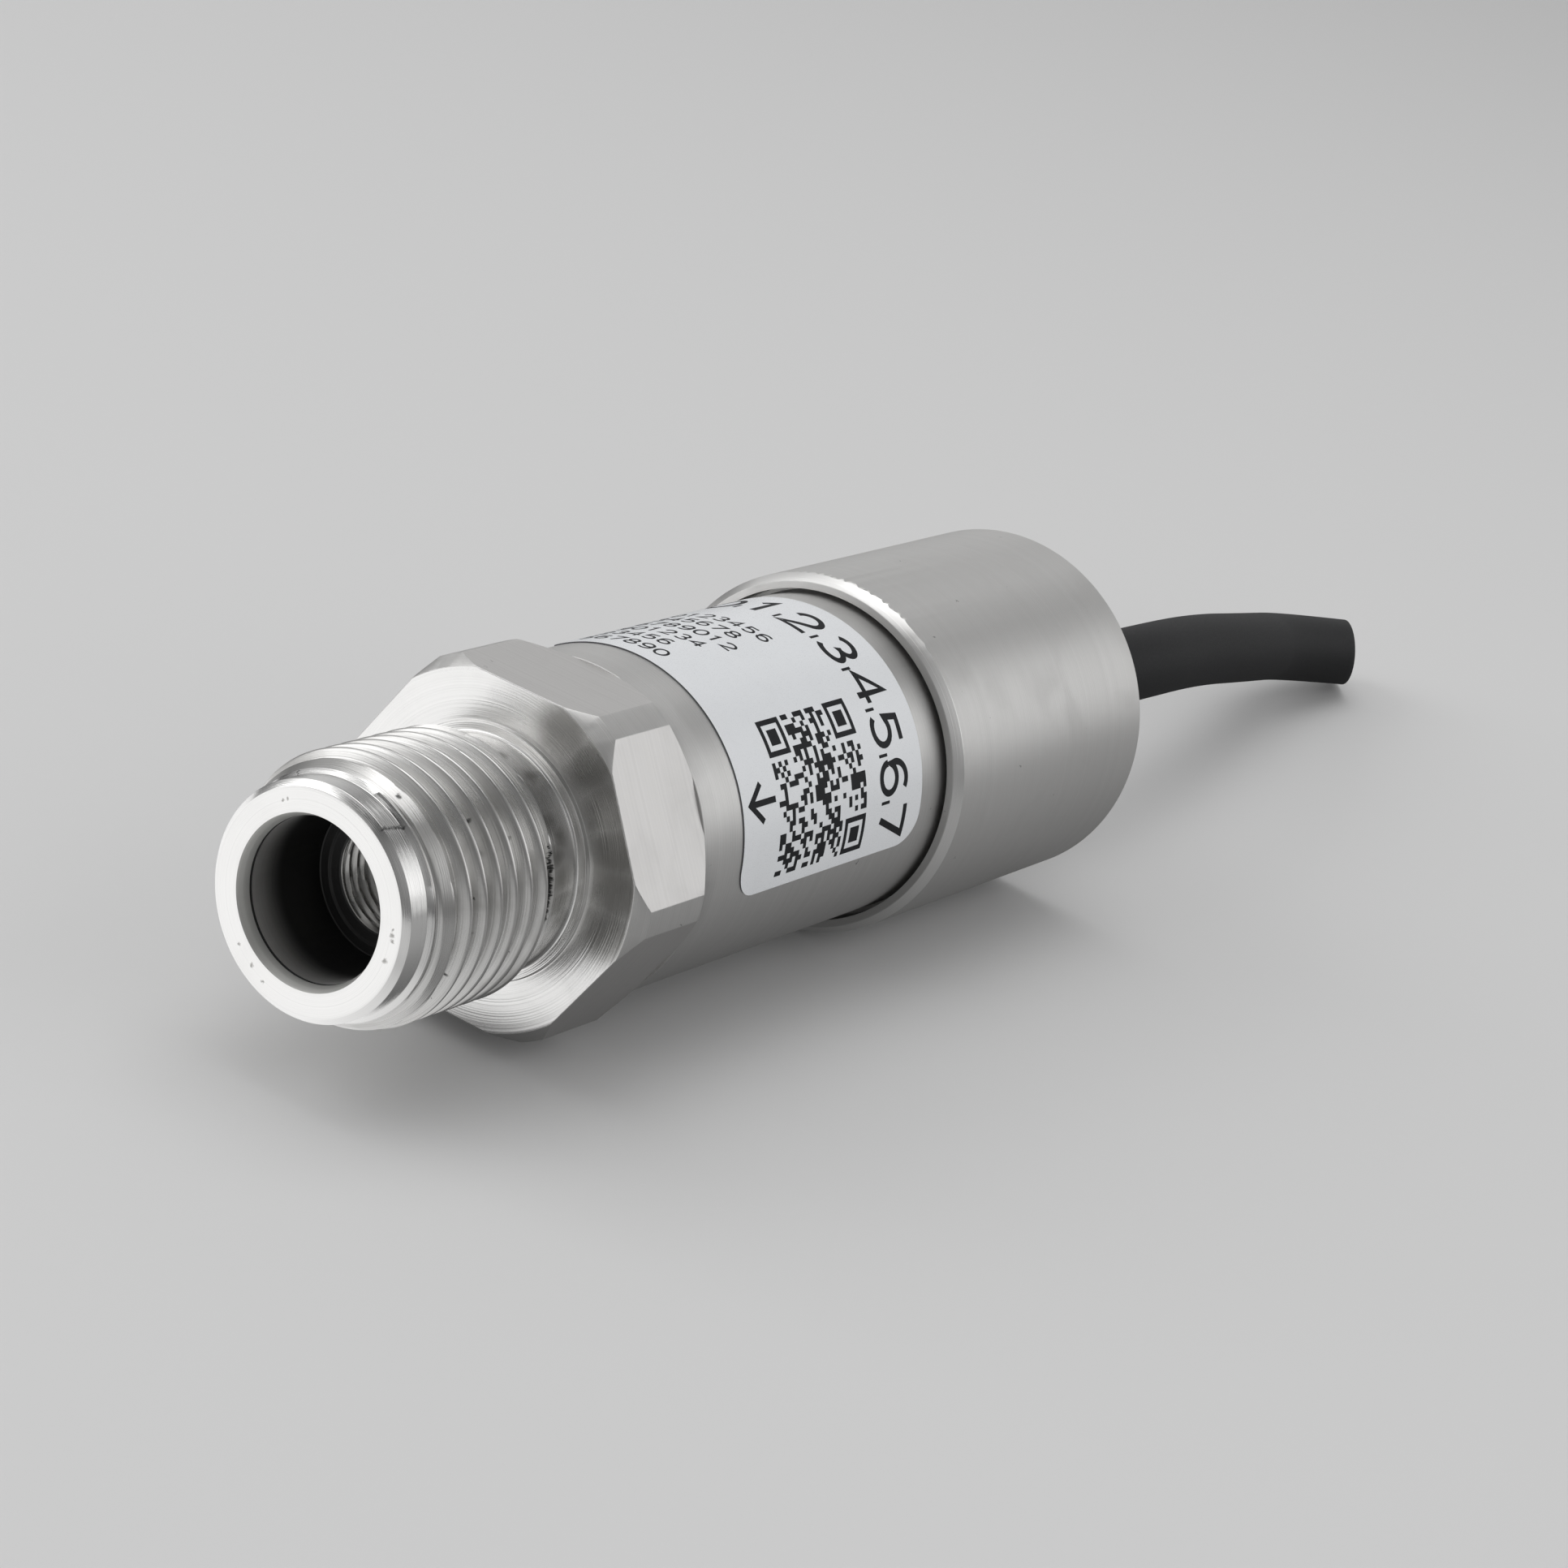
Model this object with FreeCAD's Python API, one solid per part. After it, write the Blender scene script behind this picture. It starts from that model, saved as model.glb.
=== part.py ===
"""Pressure transmitter with a G 1/2 process connection and a cable outlet.

The housing lies on its side: +X runs from the process connection to the cable, +Z is up, and
the origin is under the middle of the housing, on the surface that the cap rests on.
Stations along the axis are measured from the face of the nose. All sizes are in millimetres.
"""
import FreeCAD, Part
import os
from math import cos, degrees, pi, radians, sin, sqrt, tan

# ---------------------------------------------------------------- process connection
nose_face_radius = 8.5
nose_radius = 9.0
nose_edge = 0.5
nose_length = 2.3
lead_step = 0.35
lead_length = 2.6
thread_radius = 10.4775
thread_length = 10.9
relief_radius = 9.2
relief_runout = 1.1
relief_length = 4.3
relief_fillet = 0.6
collar_radius = 10.05
collar_height = 0.5

across_flats = 27.0
hex_bar_stock = 1.5
hex_face_stock = 0.6
hex_front_chamfer = 1.3
hex_rear_chamfer = 1.5
hex_length = 9.8
hex_radius = across_flats / 2
hex_bar_radius = hex_radius + hex_bar_stock
hex_face_radius = hex_radius + hex_face_stock

tube_stock = 0.2
tube_wall = 2.0
tube_radius = hex_radius + tube_stock
tube_bore_radius = tube_radius - tube_wall

capsule_shoulder = 2.2
capsule_radius = tube_bore_radius - capsule_shoulder
chamber_rim = 1.5
chamber_radius = capsule_radius - chamber_rim

port_radius = 6.2
port_mouth_chamfer = 0.3
port_depth = 9.2
port_thread_radius = 4.283
port_thread_chamfer = 0.6
port_thread_length = 5.8
channel_radius = 1.5
chamber_depth = 0.4

# ---------------------------------------------------------------- label
label_setback = 5.3
label_width = 26.2
label_thickness = 0.1
label_corner = 2.6
label_cutter = 4.0
label_low_angle = 51.4
label_high_angle = 185.8

# ---------------------------------------------------------------- pressure sensor capsule
capsule_setback = 1.9
capsule_clearance = 0.1
capsule_length = 5.6
weld_ring_height = 0.5
weld_ring_width = 1.1
weld_ring_inner_radius = capsule_radius - weld_ring_width
diaphragm_thickness = 0.12
diaphragm_waves = 6
diaphragm_wave_height = 0.14
diaphragm_flat_radius = 2.0
diaphragm_recess = 0.35
oil_cavity_wall = 3.3
oil_cavity_radius = capsule_radius - oil_cavity_wall
oil_cavity_depth = 2.2
filler_clearance = 0.15
filler_gap = 0.35
filler_window = 3.6
die_side = 2.6
die_height = 0.4
pedestal_height = 0.7
seal_section_radius = 0.72
seal_squeeze_gap = 0.03
seal_groove_width = 2.0
seal_groove_setback = 1.7

pin_count = 5
pin_circle_radius = 4.4
pin_radius = 0.25
glass_radius = 0.7
pin_reach_in = 0.8
pin_filler_clearance = 0.15

clamp_ring_width = 2.5
clamp_ring_inner_radius = capsule_radius - clamp_ring_width
clamp_ring_length = 3.0
clamp_slot_width = 1.6
clamp_slot_depth = 1.2

# ---------------------------------------------------------------- electronics
spacer_inset = 0.5
spacer_width = 1.4
spacer_outer_radius = capsule_radius - spacer_inset
spacer_inner_radius = spacer_outer_radius - spacer_width
spacer_length = 2.2
sensor_board_inset = 0.3
sensor_board_radius = capsule_radius - sensor_board_inset
sensor_board_thickness = 1.0
pin_hole_clearance = 0.1
pin_tail = 0.7

main_board_length = 32.0
main_board_thickness = 1.2
main_board_clearance = 0.2
sleeve_thickness = 0.6
sleeve_clearance = 0.1
sleeve_stop_gap = 1.5

link_count = 5
link_pitch = 1.6
link_size = 0.5
link_leg = 2.4

chip_body = (6.5, 4.4, 1.1)
chip_lead_count = 8
chip_lead_pitch = 0.65
chip_lead = (0.3, 1.0, 0.2)
chip_station = 8.0

regulator_body = (4.9, 3.9, 1.5)
regulator_lead_count = 4
regulator_lead_pitch = 1.27
regulator_lead = (0.42, 1.05, 0.25)
regulator_station = 17.0

transistor_body = (6.5, 6.1, 2.3)
transistor_tab = (5.2, 1.2, 0.5)
transistor_lead = (0.8, 2.6, 0.5)
transistor_lead_pitch = 2.3
transistor_station = 14.0

tantalum_body = (3.5, 2.8, 1.9)
tantalum_setback = 1.0
tantalum_offset = 5.4
diode_body = (4.3, 2.6, 2.2)
diode_station = 24.0
diode_offset = 4.2
ceramic_body = (2.0, 1.25, 0.9)
ceramic_rows = 3
ceramic_first = 4.0
ceramic_gap = 0.1
ceramic_offset = 6.6
resistor_body = (1.6, 0.8, 0.45)
resistor_rows = 5
resistor_first = 4.4
resistor_pitch = 2.8
resistor_offset = 8.4

terminal_body = (5.0, 10.0, 3.0)
terminal_hole_depth = 3.0
terminal_setback = 0.8
terminal_count = 3
terminal_pitch = 3.0
terminal_hole_radius = 0.7

# ---------------------------------------------------------------- cap and cable gland
cap_gap = 3.4
cap_length = 31.2
cap_shell = 1.62
cap_face_step = 0.62
cap_mouth_gap = 0.4
cap_cavity_step = 1.3
cap_radius = tube_radius + cap_shell
cap_face_radius = cap_radius - cap_face_step
cap_mouth_radius = tube_radius + cap_mouth_gap
cap_cavity_radius = tube_radius - cap_cavity_step
cap_front_chamfer = 0.8
cap_rear_chamfer = 0.3
cap_mouth_depth = 2.5
cap_fit_clearance = 0.05
cap_engagement = 12.2
cap_wall = 10.5
cap_seal_setback = 5.2
cap_seal_section_radius = 0.5
cap_seal_groove_width = 1.4

gland_pocket_radius = 6.6
gland_pocket_depth = 8.5
gland_clearance = 0.1
bush_length = 3.8
washer_thickness = 0.8
gland_screw_recess = 0.3
gland_slot_width = 1.2
gland_slot_depth = 1.0

# ---------------------------------------------------------------- cable
cable_radius = 3.5
cable_hole_clearance = 0.1
bush_clearance = 0.05
tie_length = 2.6
tie_thickness = 1.2
tie_head = (4.0, 4.6, 3.6)
core_radius = 0.6
core_offset = 1.5
core_straight = 2.0
screen_radius = 0.35
vent_radius = 0.5
vent_bore_radius = 0.3
vent_free_length = 9.0

# The cable's free run: it leaves the cap on the axis, sags and bends gently aside, and its
# end lies on the surface, trimmed at a slant. Points along the axis, aside and above the axis.
cable_route = [
    (77.5, 0.0, 0.0),
    (98.5, 0.0, 0.0),
    (118.5, -1.9, 0.6),
    (136.7, 0.4, -1.6),
    (155.1, 3.2, -5.3),
    (172.6, 6.9, -9.2),
    (189.4, 4.4, -11.8),
]
cable_trim_direction = (0.64, -0.75, 0.19)
cable_trim_tool = 12.0

# ---------------------------------------------------------------- stations along the axis
nose_end = nose_length
thread_start = nose_end + lead_length
thread_end = thread_start + thread_length
relief_end = thread_end + relief_length
hex_front = relief_end + collar_height
hex_rear = hex_front + hex_length
label_front = hex_rear + label_setback
label_rear = label_front + label_width
cap_front = label_rear + cap_gap
cap_rear = cap_front + cap_length
tube_rear = cap_front + cap_engagement

capsule_front = hex_front + capsule_setback
capsule_rear = capsule_front + capsule_length
clamp_ring_rear = capsule_rear + clamp_ring_length
spacer_rear = clamp_ring_rear + spacer_length
sensor_board_rear = spacer_rear + sensor_board_thickness
main_board_rear = sensor_board_rear + main_board_length
capsule_bore_radius = capsule_radius + capsule_clearance

wall_front = cap_rear - cap_wall
pocket_floor = cap_rear - gland_pocket_depth
bush_rear = pocket_floor + bush_length
washer_rear = bush_rear + washer_thickness
cable_start = cable_route[0][0]

V = FreeCAD.Vector
AXIS = V(1, 0, 0)


# ---------------------------------------------------------------- shape helpers
def turned(outline):
    """Solid of revolution about the axis from (station, radius) points; a point written as
    (station, radius, station, radius) is an arc through the first pair to the second."""
    first = outline[0]
    here = V(first[0], 0, first[1])
    edges = []
    for point in list(outline[1:]) + [first]:
        there = V(point[-2], 0, point[-1])
        if len(point) == 4:
            edges.append(Part.Arc(here, V(point[0], 0, point[1]), there).toShape())
        elif here.distanceToPoint(there) > 1e-9:
            edges.append(Part.LineSegment(here, there).toShape())
        here = there
    return Part.Face(Part.Wire(edges)).revolve(V(0, 0, 0), AXIS, 360)


def rod(start, end, radius, y=0.0, z=0.0):
    return Part.makeCylinder(radius, end - start, V(start, y, z), AXIS)


def ring(start, end, inner, outer):
    return rod(start, end, outer).cut(rod(start - 1, end + 1, inner))


def block(size, x, y, z):
    """Box of size (along X, Y, Z) whose base is centred at x, y, z."""
    return Part.makeBox(size[0], size[1], size[2], V(x - size[0] / 2, y - size[1] / 2, z))


def turned_about_axis(shape, angle):
    copy = shape.copy()
    copy.rotate(V(0, 0, 0), AXIS, angle)
    return copy


def fused(shapes):
    return shapes[0].multiFuse(shapes[1:]).removeSplitter()


def tube_path(points, print_name=None):
    """Wire of straight runs joined by tangent arcs, each arc as large as its two runs allow."""
    points = [V(*p) for p in points]
    edges, radii, here = [], [], points[0]
    for before, corner, after in zip(points, points[1:], points[2:]):
        to_before = (before - corner).normalize()
        to_after = (after - corner).normalize()
        half_turn = (V(0, 0, 0) - to_before).getAngle(to_after) / 2
        reach = 0.45 * min((before - corner).Length, (after - corner).Length)
        radius = reach / tan(half_turn)
        start, end = corner + to_before * reach, corner + to_after * reach
        inward = (to_before + to_after).normalize()
        middle = corner + inward * (radius / cos(half_turn) - radius)
        edges += [Part.LineSegment(here, start).toShape(), Part.Arc(start, middle, end).toShape()]
        radii.append(round(radius, 1))
        here = end
    edges.append(Part.LineSegment(here, points[-1]).toShape())
    if print_name:
        print(print_name, "arc radii", radii)
    return Part.Wire(edges)


def tube_along(points, radius, print_name=None):
    path = tube_path(points, print_name)
    along = V(*points[1]) - V(*points[0])
    section = Part.Wire(Part.makeCircle(radius, V(*points[0]), along))
    solid = path.makePipeShell([section], True, False)
    if print_name:
        expected = pi * radius**2 * path.Length
        print(print_name, "length", round(path.Length, 2), "volume share", solid.Volume / expected)
    return solid


# ---------------------------------------------------------------- process connection
def outer_profile():
    """Outside of the turned body, from the nose face to the rear of the tube."""
    fillet_centre = (relief_end - relief_fillet, relief_radius + relief_fillet)
    middle = relief_fillet * sqrt(0.5)
    seal_groove = cap_front + cap_seal_setback
    seal_floor = tube_radius - 2 * cap_seal_section_radius
    return [
        (0, nose_face_radius),
        (nose_edge, nose_radius),
        (nose_end, nose_radius),
        (nose_end + lead_step, nose_radius + lead_step),
        (thread_start, thread_radius),
        (thread_end, thread_radius),
        (thread_end + relief_runout, relief_radius),
        (relief_end - relief_fillet, relief_radius),
        (fillet_centre[0] + middle, fillet_centre[1] - middle, relief_end, fillet_centre[1]),
        (relief_end, collar_radius),
        (hex_front, collar_radius),
        (hex_front, hex_face_radius),
        (hex_front + hex_front_chamfer, hex_bar_radius),
        (hex_rear - hex_rear_chamfer, hex_bar_radius),
        (hex_rear, tube_radius),
        (seal_groove, tube_radius),
        (seal_groove, seal_floor),
        (seal_groove + cap_seal_groove_width, seal_floor),
        (seal_groove + cap_seal_groove_width, tube_radius),
        (tube_rear, tube_radius),
    ]


def bore_profile():
    """Inside of the turned body, from the rear of the tube back to the nose face."""
    thread_top = port_depth + port_thread_length
    return [
        (tube_rear, tube_bore_radius),
        (clamp_ring_rear, tube_bore_radius),
        (clamp_ring_rear, capsule_bore_radius),
        (capsule_front, capsule_bore_radius),
        (capsule_front, chamber_radius),
        (capsule_front - chamber_depth, chamber_radius),
        (capsule_front - chamber_depth, channel_radius),
        (thread_top + port_thread_radius - channel_radius, channel_radius),
        (thread_top, port_thread_radius),
        (port_depth + port_thread_chamfer, port_thread_radius),
        (port_depth, port_thread_radius + port_thread_chamfer),
        (port_depth, port_radius),
        (port_mouth_chamfer, port_radius),
        (0, port_radius + port_mouth_chamfer),
    ]


def process_connection():
    body = turned(outer_profile() + bore_profile())
    reach = hex_bar_radius * 2
    depth = hex_bar_radius - across_flats / 2 + 1
    flat = Part.makeBox(
        hex_length + 1, reach, depth, V(hex_front - 1, -reach / 2, across_flats / 2)
    )
    flats = [turned_about_axis(flat, 60 * i) for i in range(6)]
    return body.cut(Part.makeCompound(flats))


def label():
    """Thin printed plate bonded round the tube, with rounded corners."""
    outer = tube_radius + label_thickness
    corners = [
        V(label_front, tube_radius, 0),
        V(label_rear, tube_radius, 0),
        V(label_rear, outer, 0),
        V(label_front, outer, 0),
    ]
    section = Part.Face(Part.makePolygon(corners + [corners[0]]))
    sweep = label_high_angle - label_low_angle
    plate = section.revolve(V(0, 0, 0), AXIS, sweep)
    inset = degrees(label_corner / tube_radius)
    base = tube_radius - label_cutter / 2
    pillar = Part.makeCylinder(label_corner, label_cutter, V(0, base, 0), V(0, 1, 0))
    for side, angle in ((-1, inset), (1, sweep - inset)):
        for inward, station in ((1, label_front), (-1, label_rear)):
            size = label_corner + 1
            nib = Part.makeBox(
                size, label_cutter, size,
                V(min(0, -inward * size), base, min(0, side * size)),
            ).cut(pillar)
            nib.translate(V(station + inward * label_corner, 0, 0))
            plate = plate.cut(turned_about_axis(nib, angle))
    return turned_about_axis(plate, label_low_angle)


# ---------------------------------------------------------------- pressure sensor capsule
body_front = capsule_front + weld_ring_height + diaphragm_thickness
cavity_floor = body_front + diaphragm_recess + oil_cavity_depth
seal_groove_start = capsule_front + seal_groove_setback
seal_groove_radius = capsule_bore_radius - 2 * (seal_section_radius + seal_squeeze_gap)


def weld_ring():
    return ring(
        capsule_front, capsule_front + weld_ring_height, weld_ring_inner_radius, capsule_radius
    )


def wave_points(station, outward):
    """Corrugations from the flat centre to the rim, or back again."""
    pitch = (weld_ring_inner_radius - diaphragm_flat_radius) / diaphragm_waves
    points = []
    for i in range(diaphragm_waves):
        lift = diaphragm_wave_height * (1 if i % 2 else -1)
        inner, outer = diaphragm_flat_radius + i * pitch, diaphragm_flat_radius + (i + 1) * pitch
        end = outer if outward else inner
        points.append((station + lift, (inner + outer) / 2, station, end))
    return points if outward else points[::-1]


def diaphragm():
    front = capsule_front + weld_ring_height
    rear = front + diaphragm_thickness
    return turned(
        [(front, 0), (front, diaphragm_flat_radius)]
        + wave_points(front, True)
        + [(front, capsule_radius), (rear, capsule_radius), (rear, weld_ring_inner_radius)]
        + wave_points(rear, False)
        + [(rear, 0)]
    )


def pin_places():
    turn = 360 / pin_count
    return [
        (pin_circle_radius * cos(radians(90 + turn * i)), pin_circle_radius * sin(radians(90 + turn * i)))
        for i in range(pin_count)
    ]


def capsule_body():
    body = turned([
        (body_front, weld_ring_inner_radius),
        (body_front, capsule_radius),
        (seal_groove_start, capsule_radius),
        (seal_groove_start, seal_groove_radius),
        (seal_groove_start + seal_groove_width, seal_groove_radius),
        (seal_groove_start + seal_groove_width, capsule_radius),
        (capsule_rear, capsule_radius),
        (capsule_rear, 0),
        (cavity_floor, 0),
        (cavity_floor, oil_cavity_radius),
        (body_front + diaphragm_recess, oil_cavity_radius),
        (body_front + diaphragm_recess, weld_ring_inner_radius),
    ])
    holes = [rod(cavity_floor - 1, capsule_rear + 1, glass_radius, y, z) for y, z in pin_places()]
    return body.cut(Part.makeCompound(holes))


def glass_seals():
    seals = []
    for y, z in pin_places():
        seal = rod(cavity_floor, capsule_rear, glass_radius, y, z)
        seals.append(seal.cut(rod(cavity_floor - 1, capsule_rear + 1, pin_radius, y, z)))
    return Part.makeCompound(seals)


def header_pins():
    start, end = cavity_floor - pin_reach_in, sensor_board_rear + pin_tail
    return Part.makeCompound([rod(start, end, pin_radius, y, z) for y, z in pin_places()])


def filler_disc():
    """Ceramic disc that takes up the oil space, with a window for the die."""
    front = body_front + diaphragm_recess + filler_gap
    disc = rod(front, cavity_floor, oil_cavity_radius - filler_clearance)
    window = block((oil_cavity_depth + 2, filler_window, filler_window), cavity_floor, 0, -filler_window / 2)
    hole = pin_radius + pin_filler_clearance
    holes = [rod(front - 1, cavity_floor + 1, hole, y, z) for y, z in pin_places()]
    return disc.cut(Part.makeCompound([window] + holes))


def die_pedestal():
    return block((pedestal_height, die_side, die_side), cavity_floor - pedestal_height / 2, 0, -die_side / 2)


def sensing_die():
    rear = cavity_floor - pedestal_height
    return block((die_height, die_side, die_side), rear - die_height / 2, 0, -die_side / 2)


def capsule_seal():
    centre = seal_groove_start + seal_groove_width / 2
    radius = (seal_groove_radius + capsule_bore_radius) / 2
    return Part.makeTorus(radius, seal_section_radius, V(centre, 0, 0), AXIS)


def clamp_ring():
    body = ring(capsule_rear, clamp_ring_rear, clamp_ring_inner_radius, capsule_radius)
    slot = block(
        (2 * clamp_slot_depth, 2 * capsule_radius + 2, clamp_slot_width),
        clamp_ring_rear, 0, -clamp_slot_width / 2,
    )
    return body.cut(slot)


# ---------------------------------------------------------------- electronics
sleeve_outer_radius = tube_bore_radius - sleeve_clearance
sleeve_inner_radius = sleeve_outer_radius - sleeve_thickness
board_top = main_board_thickness / 2
board_corner_radius = sleeve_inner_radius - main_board_clearance
main_board_width = 2 * sqrt(board_corner_radius**2 - board_top**2)
terminal_rear = main_board_rear - terminal_setback
terminal_front = terminal_rear - terminal_body[0]
tantalum_rear = terminal_front - tantalum_setback
terminal_height = board_top + terminal_body[2] / 2


def board_spacer():
    return ring(clamp_ring_rear, spacer_rear, spacer_inner_radius, spacer_outer_radius)


def sensor_board():
    board = rod(spacer_rear, sensor_board_rear, sensor_board_radius)
    hole = pin_radius + pin_hole_clearance
    holes = [rod(spacer_rear - 1, sensor_board_rear + 1, hole, y, z) for y, z in pin_places()]
    return board.cut(Part.makeCompound(holes))


def main_board():
    size = (main_board_length, main_board_width, main_board_thickness)
    return block(size, sensor_board_rear + main_board_length / 2, 0, -board_top)


def insulating_sleeve():
    return ring(
        clamp_ring_rear, tube_rear - sleeve_stop_gap, sleeve_inner_radius, sleeve_outer_radius
    )


def board_links():
    """Row of angle pins that join the two boards."""
    links = []
    for i in range(link_count):
        y = (i - (link_count - 1) / 2) * link_pitch
        foot = block((link_leg, link_size, link_size), sensor_board_rear + link_leg / 2, y, board_top)
        post = block((link_size, link_size, link_leg), sensor_board_rear + link_size / 2, y, board_top)
        links.append(fused([foot, post]))
    return Part.makeCompound(links)


def leaded_chip(station, body, count, pitch, lead):
    """Moulded chip with a row of flat leads on each long side, standing on the main board."""
    x = sensor_board_rear + station
    pieces = [block(body, x, 0, board_top + lead[2] / 2)]
    for side in (-1, 1):
        y = side * (body[1] / 2 + lead[1] / 2 - lead[2])
        for i in range(count):
            pieces.append(block(lead, x + (i - (count - 1) / 2) * pitch, y, board_top))
    return fused(pieces)


def signal_chip():
    return leaded_chip(chip_station, chip_body, chip_lead_count, chip_lead_pitch, chip_lead)


def loop_regulator():
    return leaded_chip(
        regulator_station, regulator_body, regulator_lead_count, regulator_lead_pitch, regulator_lead
    )


def loop_transistor():
    """Power transistor under the board: body, soldered tab and two leads."""
    x = sensor_board_rear + transistor_station
    length, width, height = transistor_body[1], transistor_body[0], transistor_body[2]
    body = block((length, width, height), x, 0, -board_top - height)
    tab_x = x - length / 2 - transistor_tab[1] / 2
    tab = block(
        (transistor_tab[1], transistor_tab[0], transistor_tab[2]), tab_x, 0, -board_top - transistor_tab[2]
    )
    lead_x = x + length / 2 + transistor_lead[1] / 2
    leads = [
        block(
            (transistor_lead[1], transistor_lead[0], transistor_lead[2]),
            lead_x, side * transistor_lead_pitch, -board_top - transistor_lead[2],
        )
        for side in (-1, 1)
    ]
    return fused([body, tab] + leads)


def chips_on_top(body, offset, first, rows=1, pitch=0.0):
    """Pairs of small parts on the top of the main board, one each side of its middle."""
    return Part.makeCompound([
        block(body, sensor_board_rear + first + pitch * row, side * offset, board_top)
        for row in range(rows)
        for side in (-1, 1)
    ])


def tantalum_capacitors():
    """Pair of capacitors just ahead of the terminal block."""
    middle = tantalum_rear - tantalum_body[0] / 2
    return chips_on_top(tantalum_body, tantalum_offset, middle - sensor_board_rear)


def ceramic_capacitors():
    """Pairs spread evenly from the front of the board to the tantalum capacitors."""
    last = tantalum_rear - tantalum_body[0] - ceramic_gap - ceramic_body[0] / 2
    pitch = (last - sensor_board_rear - ceramic_first) / (ceramic_rows - 1)
    return chips_on_top(ceramic_body, ceramic_offset, ceramic_first, ceramic_rows, pitch)


def resistors():
    return chips_on_top(resistor_body, resistor_offset, resistor_first, resistor_rows, resistor_pitch)


def protection_diodes():
    return Part.makeCompound([
        block(diode_body, sensor_board_rear + diode_station, side * diode_offset, -board_top - diode_body[2])
        for side in (-1, 1)
    ])


def terminal_places():
    return [(i - (terminal_count - 1) / 2) * terminal_pitch for i in range(terminal_count)]


def terminal_block():
    body = block(terminal_body, terminal_rear - terminal_body[0] / 2, 0, board_top)
    holes = [
        rod(terminal_rear - terminal_hole_depth, terminal_rear + 1, terminal_hole_radius, y, terminal_height)
        for y in terminal_places()
    ]
    return body.cut(Part.makeCompound(holes))


# ---------------------------------------------------------------- cap and cable gland
def rear_cap():
    fit = tube_radius + cap_fit_clearance
    hole = cable_radius + cable_hole_clearance
    return turned([
        (cap_front, cap_mouth_radius),
        (cap_front, cap_face_radius),
        (cap_front + cap_front_chamfer, cap_radius),
        (cap_rear - cap_rear_chamfer, cap_radius),
        (cap_rear, cap_radius - cap_rear_chamfer),
        (cap_rear, gland_pocket_radius),
        (pocket_floor, gland_pocket_radius),
        (pocket_floor, hole),
        (wall_front, hole),
        (wall_front, cap_cavity_radius),
        (tube_rear, cap_cavity_radius),
        (tube_rear, fit),
        (cap_front + cap_mouth_depth, fit),
        (cap_front + cap_mouth_depth, cap_mouth_radius),
    ])


def cap_seal():
    centre = cap_front + cap_seal_setback + cap_seal_groove_width / 2
    floor = tube_radius - 2 * cap_seal_section_radius
    radius = (floor + tube_radius + cap_fit_clearance) / 2
    return Part.makeTorus(radius, cap_seal_section_radius, V(centre, 0, 0), AXIS)


gland_outer_radius = gland_pocket_radius - gland_clearance
cable_hug_radius = cable_radius + bush_clearance


def gland_bush():
    return ring(pocket_floor, bush_rear, cable_hug_radius, gland_outer_radius)


def gland_washer():
    return ring(bush_rear, washer_rear, cable_radius + cable_hole_clearance, gland_outer_radius)


def gland_screw():
    end = cap_rear - gland_screw_recess
    body = ring(washer_rear, end, cable_radius + 2 * cable_hole_clearance, gland_outer_radius)
    slot = block(
        (2 * gland_slot_depth, 2 * gland_outer_radius + 2, gland_slot_width), end, 0, -gland_slot_width / 2
    )
    return body.cut(slot)


def cable_tie():
    """Tie drawn tight on the jacket, against the inner face of the cap's wall."""
    band = ring(wall_front - tie_length, wall_front, cable_hug_radius, cable_hug_radius + tie_thickness)
    head = block(tie_head, wall_front - tie_head[0] / 2, 0, cable_hug_radius + tie_thickness / 2)
    return fused([band, head])


# ---------------------------------------------------------------- cable
def cable():
    """Jacket along its route. The trim faces its direction and leaves the last point as the tip."""
    jacket = tube_along(cable_route, cable_radius, "cable")
    tip = V(*cable_route[-1])
    back = (V(*cable_route[-2]) - tip).normalize() * cable_radius
    waste = Part.makeCylinder(
        cable_trim_tool, cable_trim_tool, tip + back, V(*cable_trim_direction)
    )
    return jacket.cut(waste)


def core(side):
    """Insulated core from the jacket's end to its terminal."""
    y_end = side * terminal_pitch
    y_start = side * core_offset
    return tube_along([
        (cable_start, y_start, 0),
        (cable_start - core_straight, y_start, 0),
        (terminal_rear + core_straight, y_end, terminal_height),
        (terminal_rear - terminal_hole_depth, y_end, terminal_height),
    ], core_radius)


def screen_wire():
    return tube_along([
        (cable_start, 0, core_offset),
        (cable_start - core_straight, 0, core_offset),
        (terminal_rear + core_straight, 0, terminal_height),
        (terminal_rear - terminal_hole_depth, 0, terminal_height),
    ], screen_radius)


def vent_tube():
    start = cable_start - vent_free_length
    outside = rod(start, cable_start, vent_radius, 0, -core_offset)
    return outside.cut(rod(start - 1, cable_start + 1, vent_bore_radius, 0, -core_offset))


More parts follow.
